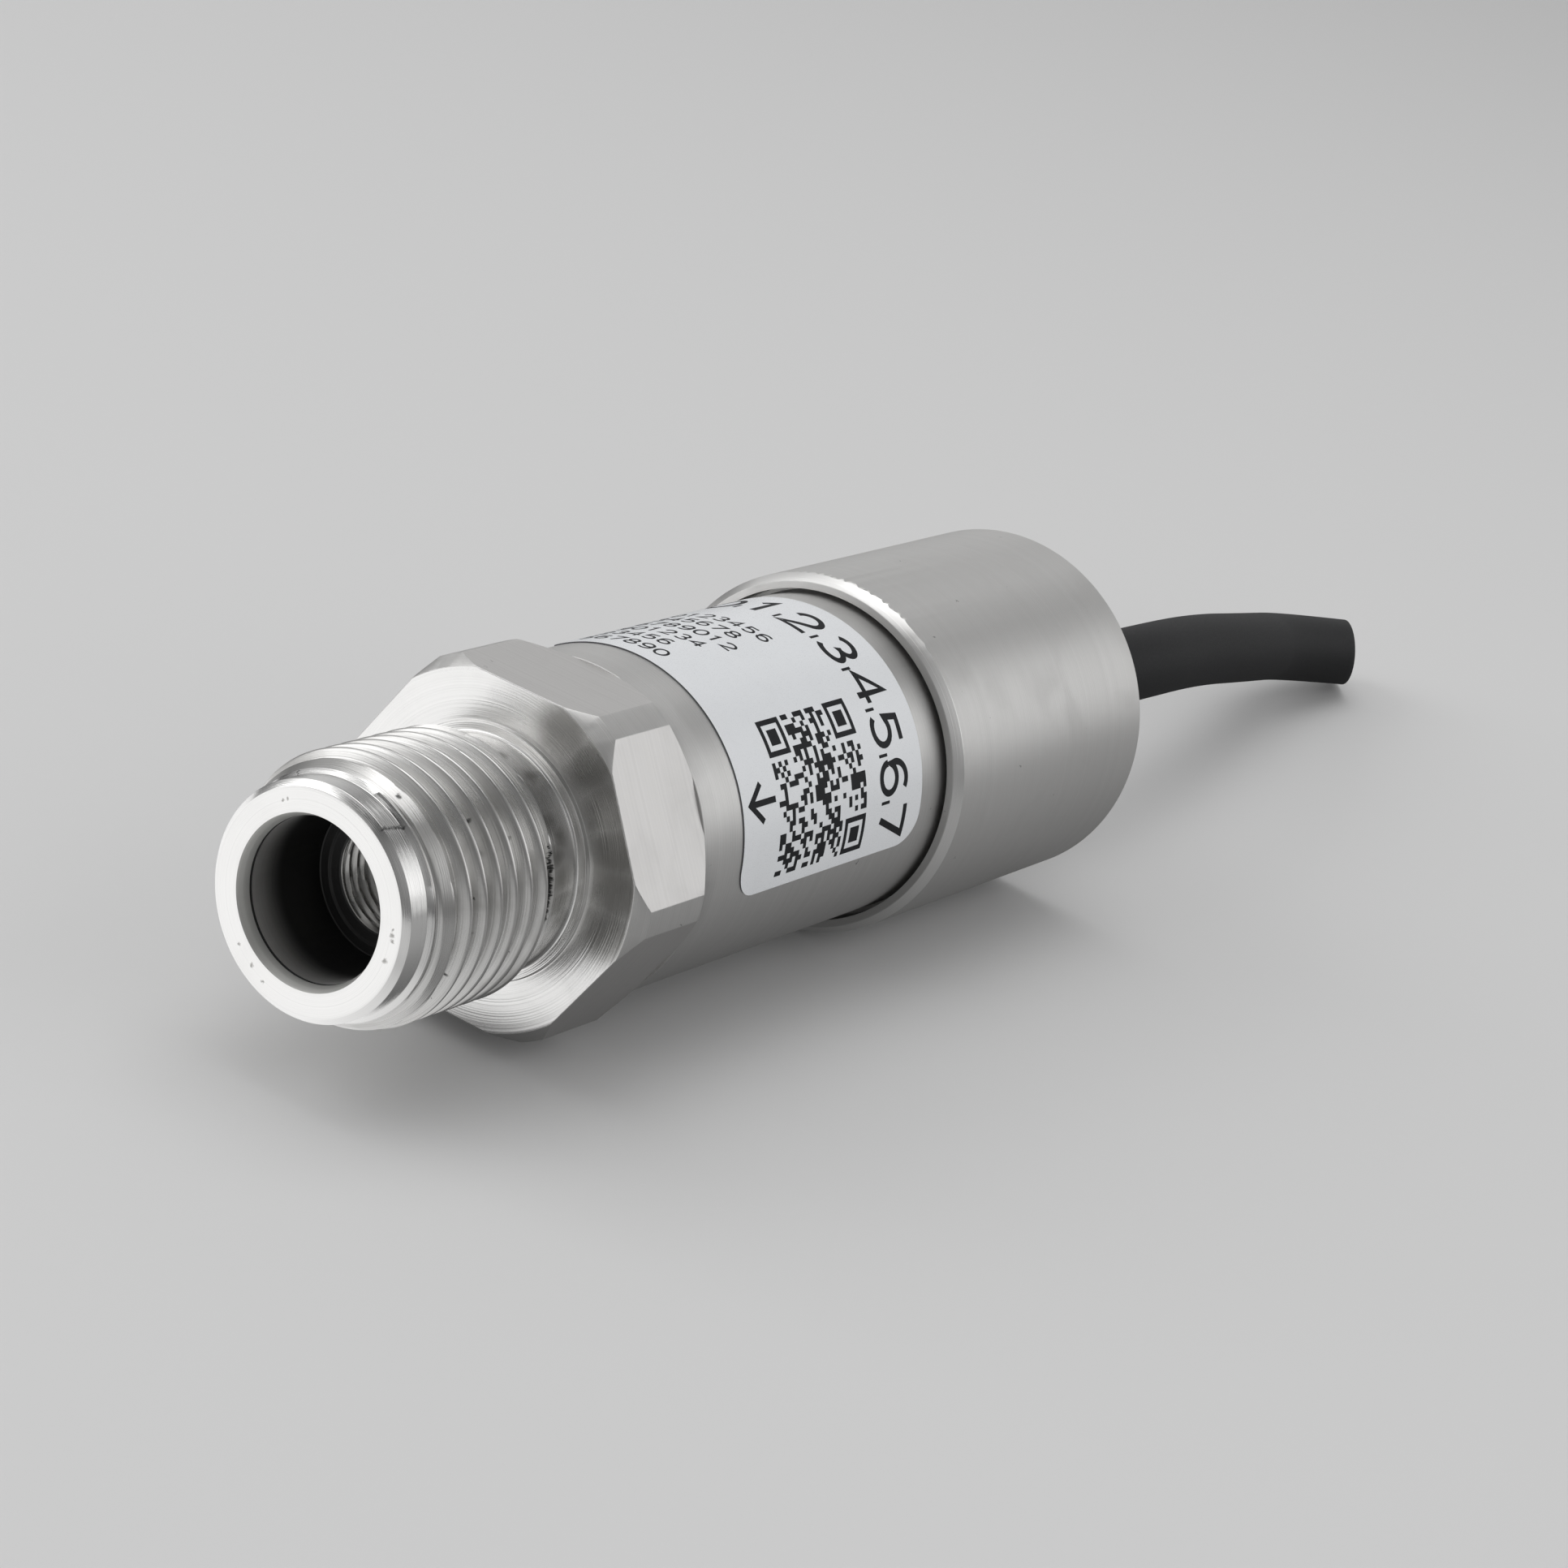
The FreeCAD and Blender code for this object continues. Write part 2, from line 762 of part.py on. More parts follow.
NODES = {
    "process_connection": process_connection,
    "label": label,
    "weld_ring": weld_ring,
    "isolating_diaphragm": diaphragm,
    "sensor_capsule": capsule_body,
    "glass_seals": glass_seals,
    "header_pins": header_pins,
    "filler_disc": filler_disc,
    "die_pedestal": die_pedestal,
    "sensing_die": sensing_die,
    "capsule_seal": capsule_seal,
    "clamp_ring": clamp_ring,
    "board_spacer": board_spacer,
    "sensor_board": sensor_board,
    "main_board": main_board,
    "board_links": board_links,
    "insulating_sleeve": insulating_sleeve,
    "signal_chip": signal_chip,
    "loop_regulator": loop_regulator,
    "loop_transistor": loop_transistor,
    "tantalum_capacitors": tantalum_capacitors,
    "ceramic_capacitors": ceramic_capacitors,
    "resistors": resistors,
    "protection_diodes": protection_diodes,
    "terminal_block": terminal_block,
    "rear_cap": rear_cap,
    "cap_seal": cap_seal,
    "gland_bush": gland_bush,
    "gland_washer": gland_washer,
    "gland_screw": gland_screw,
    "cable_tie": cable_tie,
    "cable": cable,
    "supply_core": lambda: core(1),
    "signal_core": lambda: core(-1),
    "screen_wire": screen_wire,
    "vent_tube": vent_tube,
}


def main():
    os.makedirs("parts", exist_ok=True)
    for name, build in NODES.items():
        shape = build()
        shape.translate(V(-cap_rear / 2, 0, cap_radius))
        if not shape.isValid():
            print(name, "is not valid")
        shape.exportStep("parts/%s.step" % name)


main()
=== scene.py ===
"""Looks for the pressure transmitter: a turned stainless housing with a printed film label, a
rear cap and a short signal cable, lying on its side on a pale floor.

Stations are millimetres along the axis from the nose face. Radii are millimetres from the axis.
Angles are degrees round the axis, from +Y towards +Z.
"""
import random

import bmesh
import bpy
import numpy as np
from math import atan2, cos, degrees, pi, radians, sin, sqrt
from mathutils import Matrix, Vector


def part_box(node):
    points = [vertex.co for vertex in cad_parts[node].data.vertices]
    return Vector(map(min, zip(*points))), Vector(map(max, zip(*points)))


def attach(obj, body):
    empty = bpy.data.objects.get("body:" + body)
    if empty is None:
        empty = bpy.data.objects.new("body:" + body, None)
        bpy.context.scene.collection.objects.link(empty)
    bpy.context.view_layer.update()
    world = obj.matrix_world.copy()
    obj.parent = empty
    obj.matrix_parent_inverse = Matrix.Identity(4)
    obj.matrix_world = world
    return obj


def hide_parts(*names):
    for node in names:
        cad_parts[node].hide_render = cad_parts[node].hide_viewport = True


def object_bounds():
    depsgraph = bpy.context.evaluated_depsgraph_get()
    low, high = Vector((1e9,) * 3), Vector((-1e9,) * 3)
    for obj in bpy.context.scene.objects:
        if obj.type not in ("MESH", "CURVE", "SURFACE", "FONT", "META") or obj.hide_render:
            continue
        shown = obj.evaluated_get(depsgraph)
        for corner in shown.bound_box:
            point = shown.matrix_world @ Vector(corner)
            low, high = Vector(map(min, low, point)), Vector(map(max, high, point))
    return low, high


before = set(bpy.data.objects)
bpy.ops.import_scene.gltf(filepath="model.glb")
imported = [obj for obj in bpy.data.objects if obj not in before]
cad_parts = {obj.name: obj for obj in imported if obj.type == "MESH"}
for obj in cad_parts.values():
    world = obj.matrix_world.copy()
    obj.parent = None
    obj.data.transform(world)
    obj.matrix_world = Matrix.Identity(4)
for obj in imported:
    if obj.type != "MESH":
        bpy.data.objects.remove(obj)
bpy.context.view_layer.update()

MM = 0.001
NOSE_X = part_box("process_connection")[0].x
CAP_LOW, CAP_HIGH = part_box("rear_cap")
AXIS_Y = (CAP_LOW.y + CAP_HIGH.y) / 2
AXIS_Z = (CAP_LOW.z + CAP_HIGH.z) / 2

# ------------------------------------------------------------------ sizes of the housing
NOSE_FACE_RADIUS = 8.5
NOSE_RADIUS = 9.0
NOSE_END = 2.3
LEAD_RADIUS = 9.35
LEAD_START = 2.65
THREAD_START, THREAD_END = 4.9, 15.8
THREAD_RADIUS = 10.4775
RUNOUT_END = 16.9
RELIEF_RADIUS = 9.2
RELIEF_END = 20.1
COLLAR_RADIUS = 10.05
HEX_FRONT, HEX_REAR = 20.6, 30.4
FLAT_RADIUS = 13.5
BAR_RADIUS = 15.0
HEX_FACE_RADIUS = 14.1
HEX_EDGE_ROUNDING = 0.09
FRONT_CHAMFER, REAR_CHAMFER = 1.3, 1.5
TUBE_RADIUS = 13.7
TUBE_BORE_RADIUS = 11.7
TUBE_REAR = 77.5
PORT_RADIUS = 6.2
PORT_DEPTH = 9.2
INNER_THREAD_RADIUS = 4.283
INNER_THREAD_END = 15.0
CHANNEL_RADIUS = 1.5
MOUTH_RADIUS, MOUTH_DEPTH = 6.58, 1.05
MOUTH_GROOVE_DEPTH = 0.09
PORT_FLOOR_RADIUS = 5.25
CAPSULE_FRONT, CLAMP_RING_REAR = 22.5, 31.1
CHAMBER_RADIUS, CHAMBER_FRONT = 8.0, 22.1
CAPSULE_BORE_RADIUS = 9.6
SEAL_GROOVE = (70.5, 71.9, 12.7)

PITCH = 25.4 / 14
INNER_PITCH = 25.4 / 28
WHITWORTH_ROUND = 0.1373
WHITWORTH_FLANK = radians(27.5)
CREST_STATION, CREST_ANGLE = 5.5, 143.2

CAP_FRONT, CAP_REAR = 65.3, 96.5
CAP_RADIUS, CAP_FACE_RADIUS, CAP_MOUTH_RADIUS = 15.32, 14.7, 14.1
CAP_CHAMFER = 0.8
CAP_MOUTH_DEPTH = 2.5
CAP_FIT_RADIUS = 13.75
CAP_CAVITY_RADIUS = 12.4
CAP_WALL_FRONT, GLAND_FLOOR = 86.0, 88.0
GLAND_RADIUS = 6.6
CABLE_HOLE_RADIUS = 3.6

LABEL_FRONT, LABEL_REAR = 35.7, 61.9
LABEL_LOW, LABEL_HIGH = 51.4, 185.8
LABEL_CORNER = 2.6
LABEL_RADIUS = 13.8
LABEL_GAP = 0.004
INK_HEIGHT = 0.012

CABLE_RADIUS = 3.5
SHARP_ANGLE = radians(42)


# ------------------------------------------------------------------ profiles and meshes
def place(station, radius, angle):
    """Point in the row frame, in metres, from station, radius and angle in radians."""
    return (
        NOSE_X + station * MM,
        AXIS_Y + radius * cos(angle) * MM,
        AXIS_Z + radius * sin(angle) * MM,
    )


def rounded(corners, steps=3):
    """Polyline from (station, radius, rounding) corners, each rounding drawn as a short arc."""
    points = []
    for i, (station, radius, rounding) in enumerate(corners):
        here = Vector((station, radius))
        if rounding == 0 or i in (0, len(corners) - 1):
            points.append(tuple(here))
            continue
        before = (Vector(corners[i - 1][:2]) - here).normalized()
        after = (Vector(corners[i + 1][:2]) - here).normalized()
        half = before.angle(after) / 2
        reach = rounding / np.tan(half)
        centre = here + (before + after).normalized() * (rounding / sin(half))
        start, end = here + before * reach - centre, here + after * reach - centre
        first = atan2(start.y, start.x)
        turn = (atan2(end.y, end.x) - first + pi) % (2 * pi) - pi
        for step in range(steps + 1):
            angle = first + turn * step / steps
            points.append((centre.x + rounding * cos(angle), centre.y + rounding * sin(angle)))
    return points


def whitworth(phase, pitch):
    """Depth below the crest at a phase of 0 to 1 along one pitch, with the crest at 0."""
    rounding = WHITWORTH_ROUND * pitch
    along = np.minimum(phase, 1 - phase) * pitch
    slope = 1 / np.tan(WHITWORTH_FLANK)
    arc_end = rounding * cos(WHITWORTH_FLANK)
    arc_depth = rounding * (1 - sin(WHITWORTH_FLANK))
    full = 2 * arc_depth + (pitch / 2 - 2 * arc_end) * slope
    crest = rounding - np.sqrt(np.maximum(rounding**2 - along**2, 0))
    flank = arc_depth + (along - arc_end) * slope
    left = pitch / 2 - along
    root = full - rounding + np.sqrt(np.maximum(rounding**2 - left**2, 0))
    return np.where(along < arc_end, crest, np.where(left < arc_end, root, flank))


def helix_phase(stations, angles, pitch, crest_station, crest_angle):
    turns = (angles - radians(crest_angle)) / (2 * pi)
    return np.mod((stations - crest_station) / pitch - turns, 1.0)


def same_all_round(points, columns):
    """Rows of (station, radius) that are the same in every column."""
    rows = np.array(points, float)
    return np.repeat(rows[:, None, :], columns, axis=1)


def threaded_rows(stations, angles, blank):
    """Rows of an outside thread cut into a turned blank."""
    x, a = np.meshgrid(stations, angles, indexing="ij")
    phase = helix_phase(x, a, PITCH, CREST_STATION, CREST_ANGLE)
    cut = THREAD_RADIUS - whitworth(phase, PITCH)
    turned = np.interp(x, *zip(*blank))
    return np.stack([x, np.minimum(turned, cut)], axis=2)


def inner_threaded_rows(stations, angles):
    """Rows of the small inside thread, cut outwards from its bore, fading at both ends."""
    x, a = np.meshgrid(stations, angles, indexing="ij")
    phase = helix_phase(x, a, INNER_PITCH, stations[0], 0)
    depth = whitworth(np.mod(phase + 0.5, 1.0), INNER_PITCH)
    full = depth.max()
    fade = np.clip(np.minimum(x - stations[0], stations[-1] - x) / (INNER_PITCH / 2), 0, 1)
    return np.stack([x, INNER_THREAD_RADIUS + (full - depth) * fade], axis=2)


def hexagon_rows(flat_angles):
    """Rows of the hexagon. Each column is the bar and its two chamfers, cut by the flat."""
    rounding, blend = HEX_EDGE_ROUNDING, 0.02
    flat = FLAT_RADIUS / np.cos(flat_angles)
    share = np.clip(0.5 + 0.5 * (BAR_RADIUS - flat) / blend, 0, 1)
    top = BAR_RADIUS + (flat - BAR_RADIUS) * share - blend * share * (1 - share)
    front_slope = (BAR_RADIUS - HEX_FACE_RADIUS) / FRONT_CHAMFER
    rear_slope = (BAR_RADIUS - TUBE_RADIUS) / REAR_CHAMFER
    rows = []
    front_tilt, rear_tilt = atan2(1, front_slope), atan2(1, rear_slope)
    inset = top - rounding
    wall = HEX_FRONT + rounding
    cone_at_wall = HEX_FACE_RADIUS + front_slope * rounding - rounding * sqrt(1 + front_slope**2)
    face_corner = np.minimum(cone_at_wall, inset)
    top_station = wall + (inset - face_corner) / front_slope
    rows.append((HEX_FRONT, face_corner - 0.06))
    for normal in np.linspace(pi, pi - front_tilt, 3):
        rows.append((wall + rounding * cos(normal), face_corner + rounding * sin(normal)))
    for normal in np.linspace(pi - front_tilt, pi / 2, 3):
        rows.append((top_station + rounding * cos(normal), inset + rounding * sin(normal)))
    rear_full = HEX_REAR - np.maximum(top - TUBE_RADIUS, 0) / rear_slope
    rear_station = rear_full - rounding * np.tan((pi / 2 - rear_tilt) / 2)
    for share in (0.2, 0.4, 0.6, 0.8):
        rows.append((top_station * (1 - share) + rear_station * share, top))
    reach = np.where(top > TUBE_RADIUS + 0.05, rounding, 0.0)
    for normal in np.linspace(pi / 2, rear_tilt, 3):
        rows.append((rear_station + reach * cos(normal), top - reach + reach * sin(normal)))
    foot = np.minimum(top, TUBE_RADIUS)
    lip = np.minimum(0.05, TUBE_RADIUS - foot)
    rows += [(HEX_REAR, foot), (HEX_REAR, TUBE_RADIUS - lip), (HEX_REAR + lip, TUBE_RADIUS)]
    full_width = np.zeros(len(flat_angles))
    return np.stack([np.stack([station + full_width, radius + full_width], axis=1)
                     for station, radius in rows])


def new_mesh(name, points, faces, materials, slots=None):
    mesh = bpy.data.meshes.new(name)
    mesh.from_pydata(points, [], faces)
    for material in materials:
        mesh.materials.append(material)
    if slots is not None:
        mesh.polygons.foreach_set("material_index", slots)
    return mesh


def linked(name, data):
    """Object that puts a mesh, curve, lamp or camera into the scene."""
    made = bpy.data.objects.new(name, data)
    bpy.context.scene.collection.objects.link(made)
    return made


def finished(name, mesh, weighted=True):
    """Object from a mesh: doubles merged, smooth faces, sharp edges kept."""
    work = bmesh.new()
    work.from_mesh(mesh)
    bmesh.ops.remove_doubles(work, verts=work.verts, dist=1e-7)
    bmesh.ops.recalc_face_normals(work, faces=work.faces)
    work.to_mesh(mesh)
    work.free()
    mesh.shade_smooth()
    mesh.set_sharp_from_angle(angle=SHARP_ANGLE)
    piece = linked(name, mesh)
    if weighted:
        piece.modifiers.new("face_weights", "WEIGHTED_NORMAL").keep_sharp = True
    return piece


def closed_lathe(name, rows, angles, materials, slots):
    """Turned piece whose rows form a closed loop in section. Slots give each row's material."""
    count_rows, count_columns = rows.shape[:2]
    stations, radii = rows[:, :, 0], rows[:, :, 1]
    points = np.stack([
        NOSE_X + stations * MM,
        AXIS_Y + radii * np.cos(angles) * MM,
        AXIS_Z + radii * np.sin(angles) * MM,
    ], axis=2).reshape(-1, 3)
    row, column = np.meshgrid(np.arange(count_rows), np.arange(count_columns), indexing="ij")
    next_row, next_column = (row + 1) % count_rows, (column + 1) % count_columns
    quads = np.stack([
        row * count_columns + column,
        row * count_columns + next_column,
        next_row * count_columns + next_column,
        next_row * count_columns + column,
    ], axis=2).reshape(-1, 4)
    slots = slots.reshape(-1).astype(np.int32)
    mesh = new_mesh(name, points.tolist(), quads.tolist(), materials, slots)
    mesh.validate()
    return finished(name, mesh)


def sleeve_faces(rings, around):
    """Faces between rings of points that follow each other."""
    faces = []
    for i in range(rings - 1):
        for k in range(around):
            n = (k + 1) % around
            here, there = i * around, (i + 1) * around
            faces.append((here + k, here + n, there + n, there + k))
    return faces


# ------------------------------------------------------------------ shader nodes
class Tree:
    """Short ways to add nodes to a node tree and to join them."""

    def __init__(self, tree):
        self.tree = tree
        tree.nodes.clear()

    def node(self, kind, inputs=None, **settings):
        made = self.tree.nodes.new(kind)
        for key, value in settings.items():
            setattr(made, key, value)
        for key, value in (inputs or {}).items():
            self.feed(made.inputs[key], value)
        return made

    def feed(self, socket, value):
        if isinstance(value, bpy.types.NodeSocket):
            self.tree.links.new(value, socket)
        else:
            socket.default_value = value

    def math(self, operation, first, second=0.0):
        return self.node("ShaderNodeMath", {0: first, 1: second}, operation=operation).outputs[0]

    def vector(self, operation, *values, out="Vector"):
        """One vector operation. The factor of SCALE has a socket of its own."""
        sockets = (0, 3) if operation == "SCALE" else (0, 1, 2)
        made = self.node("ShaderNodeVectorMath", dict(zip(sockets, values)), operation=operation)
        return made.outputs[out]

    def parts(self, vector):
        return self.node("ShaderNodeSeparateXYZ", {0: vector}).outputs

    def span(self, value, low, high, to_low=0.0, to_high=1.0, smooth=False):
        made = self.node("ShaderNodeMapRange")
        made.interpolation_type = "SMOOTHSTEP" if smooth else "LINEAR"
        keys = ("Value", "From Min", "From Max", "To Min", "To Max")
        for key, number in zip(keys, (value, low, high, to_low, to_high)):
            self.feed(made.inputs[key], number)
        return made.outputs[0]

    def mix(self, share, first, second):
        made = self.node("ShaderNodeMix", data_type="RGBA")
        for index, value in ((0, share), (6, first), (7, second)):
            self.feed(made.inputs[index], (*value, 1.0) if isinstance(value, tuple) else value)
        return made.outputs[2]

    def noise(self, vector, scale, detail=2.0, distortion=0.0):
        """Noise over a vector, as its value and its colour."""
        return self.node("ShaderNodeTexNoise", {
            "Vector": vector, "Scale": scale, "Detail": detail, "Distortion": distortion,
        }).outputs

    def line_noise(self, along):
        return self.node("ShaderNodeTexNoise", {"W": along, "Scale": 1.0, "Detail": 3.0},
                         noise_dimensions="1D").outputs[0]

    def place(self):
        """Millimetres from the nose along the axis, and from the axis across it."""
        coordinates = self.node("ShaderNodeTexCoord").outputs["Object"]
        centred = self.vector("SUBTRACT", coordinates, (NOSE_X, AXIS_Y, AXIS_Z))
        return self.vector("SCALE", centred, 1 / MM)

    def onto_radius(self, where, radius):
        """Places moved straight out from the axis, or in, to one radius."""
        parts = self.parts(where)
        out = self.node("ShaderNodeCombineXYZ", {1: parts[1], 2: parts[2]}).outputs[0]
        out = self.vector("SCALE", self.vector("NORMALIZE", out), radius)
        along = self.node("ShaderNodeCombineXYZ", {0: parts[0]}).outputs[0]
        return self.vector("ADD", out, along)

    def marks(self, places, sharp, on_radius):
        """Cover of small ragged marks, each one a (station, radius, angle, size)."""
        where = self.place()
        if on_radius:
            where = self.onto_radius(where, on_radius)
        half = (0.5, 0.5, 0.5)
        ragged = self.vector("SUBTRACT", self.noise(where, 3.0, detail=3.0)[1], half)
        where = self.vector("MULTIPLY_ADD", ragged, half, where)
        cover = 0.0
        for station, radius, angle, size in places:
            turn, reach = radians(angle), on_radius or radius
            centre = (station, reach * cos(turn), reach * sin(turn))
            gap = self.vector("DISTANCE", where, centre, out="Value")
            mark = self.span(gap, size * sharp, size, 1.0, 0.0, smooth=True)
            cover = self.math("MAXIMUM", cover, mark)
        return cover

    def finish(self, shader, tone, roughness, height, relief):
        """Feed a shader its changing colour and roughness, and a relief in millimetres."""
        bump = self.node("ShaderNodeBump",
                         {"Strength": 1.0, "Distance": relief * MM, "Height": height})
        self.feed(shader.inputs["Base Color"], tone)
        self.feed(shader.inputs["Roughness"], roughness)
        self.feed(shader.inputs["Normal"], bump.outputs[0])


def node_group(name, inputs, outputs):
    """Empty shader group with named sockets, as (tree, its input node, its output node)."""
    group = bpy.data.node_groups.new(name, "ShaderNodeTree")
    for label, default in inputs:
        socket = group.interface.new_socket(label, in_out="INPUT", socket_type="NodeSocketFloat")
        socket.default_value = default
    for label in outputs:
        group.interface.new_socket(label, in_out="OUTPUT", socket_type="NodeSocketFloat")
    tree = Tree(group)
    return tree, tree.node("NodeGroupInput"), tree.node("NodeGroupOutput")


def lathe_marks_group():
    """Fine tool lines that run round the axis, on cylinders, cones and faces alike."""
    tree, given, result = node_group(
        "lathe_marks", [("Lines per mm", 8.0), ("Coarse share", 0.3)], ["Tone", "Height"]
    )
    parts = tree.parts(tree.place())
    squares = tree.math("ADD", tree.math("MULTIPLY", parts[1], parts[1]),
                        tree.math("MULTIPLY", parts[2], parts[2]))
    along = tree.math("ADD", parts[0], tree.math("MULTIPLY", tree.math("SQRT", squares), 1.37))
    fine = tree.line_noise(tree.math("MULTIPLY", along, given.outputs[0]))
    coarse_lines = tree.math("MULTIPLY", given.outputs[0], 0.12)
    coarse = tree.line_noise(tree.math("MULTIPLY", along, coarse_lines))
    fine_share = tree.math("SUBTRACT", 1.0, given.outputs[1])
    both = tree.math("ADD", tree.math("MULTIPLY", coarse, given.outputs[1]),
                     tree.math("MULTIPLY", fine, fine_share))
    tree.feed(result.inputs[0], tree.span(both, 0.3, 0.7))
    tree.feed(result.inputs[1], both)
    return tree.tree


def milling_marks_group():
    """Straight cutter lines across a flat, a little off square to the axis."""
    tree, given, result = node_group("milling_marks", [("Lines per mm", 5.0)], ["Tone", "Height"])
    parts = tree.parts(tree.place())
    slanted = tree.math("ADD", parts[0], tree.math("MULTIPLY", parts[2], 0.06))
    lines = tree.line_noise(tree.math("MULTIPLY", slanted, given.outputs[0]))
    tree.feed(result.inputs[0], tree.span(lines, 0.3, 0.7))
    tree.feed(result.inputs[1], lines)
    return tree.tree


def clouding_group():
    """Soft uneven patches, as left by handling and cleaning."""
    tree, given, result = node_group(
        "clouding", [("Patches per mm", 0.2), ("Low", 0.4), ("High", 0.7)], ["Mask"]
    )
    patches = tree.noise(tree.place(), given.outputs[0], detail=4.0, distortion=0.6)[0]
    tree.feed(result.inputs[0], tree.span(patches, given.outputs[1], given.outputs[2], smooth=True))
    return tree.tree


def specks_group():
    """Scattered small pits and specks of dirt."""
    tree, given, result = node_group(
        "specks", [("Cells per mm", 0.8), ("Size", 0.16), ("Share", 0.2)], ["Mask"]
    )
    bent = tree.vector("ADD", tree.place(), tree.noise(tree.place(), 3.0)[1])
    cells = tree.node("ShaderNodeTexVoronoi", {"Vector": bent, "Scale": given.outputs[0]})
    picked = tree.node("ShaderNodeSeparateColor", {0: cells.outputs["Color"]}).outputs
    size = tree.math("MULTIPLY", given.outputs[1], tree.span(picked[1], 0.0, 1.0, 0.4, 1.0))
    depth = tree.math("SUBTRACT", size, cells.outputs["Distance"])
    chosen = tree.math("LESS_THAN", picked[0], given.outputs[2])
    mask = tree.math("MULTIPLY", tree.span(depth, 0.0, 0.05, smooth=True), chosen)
    tree.feed(result.inputs[0], mask)
    return tree.tree


LATHE_MARKS = lathe_marks_group()
MILLING_MARKS = milling_marks_group()
CLOUDING = clouding_group()
SPECKS = specks_group()


def placed_group(tree, group, **values):
    made = tree.node("ShaderNodeGroup", node_tree=group)
    for label, value in values.items():
        made.inputs[label.replace("_", " ")].default_value = value
    return made.outputs


def new_material(name, colour, roughness, metallic=0.0, **sockets):
    """Material with a Principled shader, as (material, tree, shader)."""
    material = bpy.data.materials.new(name)
    material.use_nodes = True
    material.diffuse_color = (*colour, 1.0)
    tree = Tree(material.node_tree)
    shader = tree.node("ShaderNodeBsdfPrincipled")
    shader.inputs["Base Color"].default_value = (*colour, 1.0)
    shader.inputs["Roughness"].default_value = roughness
    shader.inputs["Metallic"].default_value = metallic
    for label, value in sockets.items():
        shader.inputs[label.replace("_", " ")].default_value = value
    output = tree.node("ShaderNodeOutputMaterial")
    tree.tree.links.new(shader.outputs[0], output.inputs[0])
    return material, tree, shader


def grey(value):
    return (value, value, value)


def turned_steel(name, bright, dull, roughness, marks, grain=0.35, relief=0.02, cloud=0.25,
                 dirt=0.5, stains_and_painted_light=(), painted_depth_shade=None):
    """Stainless steel off the lathe: lines round the axis, soft clouding, a few dark specks.

    Stains and painted light are (marks, sharpness, radius, share, colour). The painted depth shade
    is (first station, last station, colour): painted shade that darkens a bore further in.
    """
    material, tree, shader = new_material(
        name, bright, roughness, metallic=1.0, Anisotropic=grain, Anisotropic_Rotation=0.25
    )
    lines = placed_group(tree, LATHE_MARKS, Lines_per_mm=marks, Coarse_share=0.35)
    clouds = placed_group(tree, CLOUDING, Patches_per_mm=0.16, Low=0.45, High=0.75)[0]
    specks = placed_group(tree, SPECKS, Cells_per_mm=0.7, Size=0.13, Share=0.16)[0]
    tone = tree.mix(tree.math("MULTIPLY", lines[0], 0.5), bright, dull)
    tone = tree.mix(tree.math("MULTIPLY", clouds, cloud), tone, dull)
    tone = tree.mix(tree.math("MULTIPLY", specks, dirt), tone, grey(0.06))
    # Painted shade: the colour darkens along the axis, in place of the shade deep in a bore.
    if painted_depth_shade:
        first, last, depth_shade_colour = painted_depth_shade
        inwards = tree.span(tree.parts(tree.place())[0], first, last, smooth=True)
        tone = tree.mix(inwards, tone, depth_shade_colour)
    # Real nicks, scores and specks, and painted dark reflections and highlights, laid on as marks.
    for places, sharp, on_radius, share, colour in stains_and_painted_light:
        cover = tree.math("MULTIPLY", tree.marks(places, sharp, on_radius), share)
        tone = tree.mix(cover, tone, colour)
    uneven = tree.math(
        "ADD", tree.math("MULTIPLY", lines[0], 0.06), tree.math("MULTIPLY", clouds, 0.08)
    )
    tree.finish(shader, tone, tree.math("ADD", uneven, roughness), lines[1], relief)
    tangent = tree.node("ShaderNodeTangent", direction_type="RADIAL", axis="X")
    tree.feed(shader.inputs["Tangent"], tangent.outputs[0])
    return material


def milled_steel(name, bright, dull, roughness):
    """Stainless flat cut by the side of a mill."""
    material, tree, shader = new_material(name, bright, roughness, metallic=1.0)
    lines = placed_group(tree, MILLING_MARKS, Lines_per_mm=3.0)
    clouds = placed_group(tree, CLOUDING, Patches_per_mm=0.22, Low=0.4, High=0.8)[0]
    specks = placed_group(tree, SPECKS, Cells_per_mm=0.6, Size=0.12, Share=0.12)[0]
    tone = tree.mix(tree.math("MULTIPLY", lines[0], 0.35), bright, dull)
    tone = tree.mix(tree.math("MULTIPLY", clouds, 0.25), tone, dull)
    tone = tree.mix(tree.math("MULTIPLY", specks, 0.35), tone, grey(0.1))
    uneven = tree.math("ADD", tree.math("MULTIPLY", clouds, 0.08), roughness)
    tree.finish(shader, tone, uneven, lines[1], relief=0.01)
    return material


def grained(name, colour, roughness, metallic=0.0, grain=6.0, variation=0.25, relief=0.01,
            **sockets):
    """Plain stock material with a fine grain: moulded, drawn, plated or fired."""
    material, tree, shader = new_material(name, colour, roughness, metallic, **sockets)
    fine = tree.noise(tree.place(), grain, detail=4.0)[0]
    patches = placed_group(tree, CLOUDING, Patches_per_mm=0.3, Low=0.35, High=0.75)[0]
    darker = tuple(channel * 0.7 for channel in colour)
    tone = tree.mix(tree.math("MULTIPLY", patches, variation), colour, darker)
    uneven = tree.span(fine, 0.3, 0.7, roughness - 0.05, roughness + 0.06)
    tree.finish(shader, tone, uneven, fine, relief)
    return material


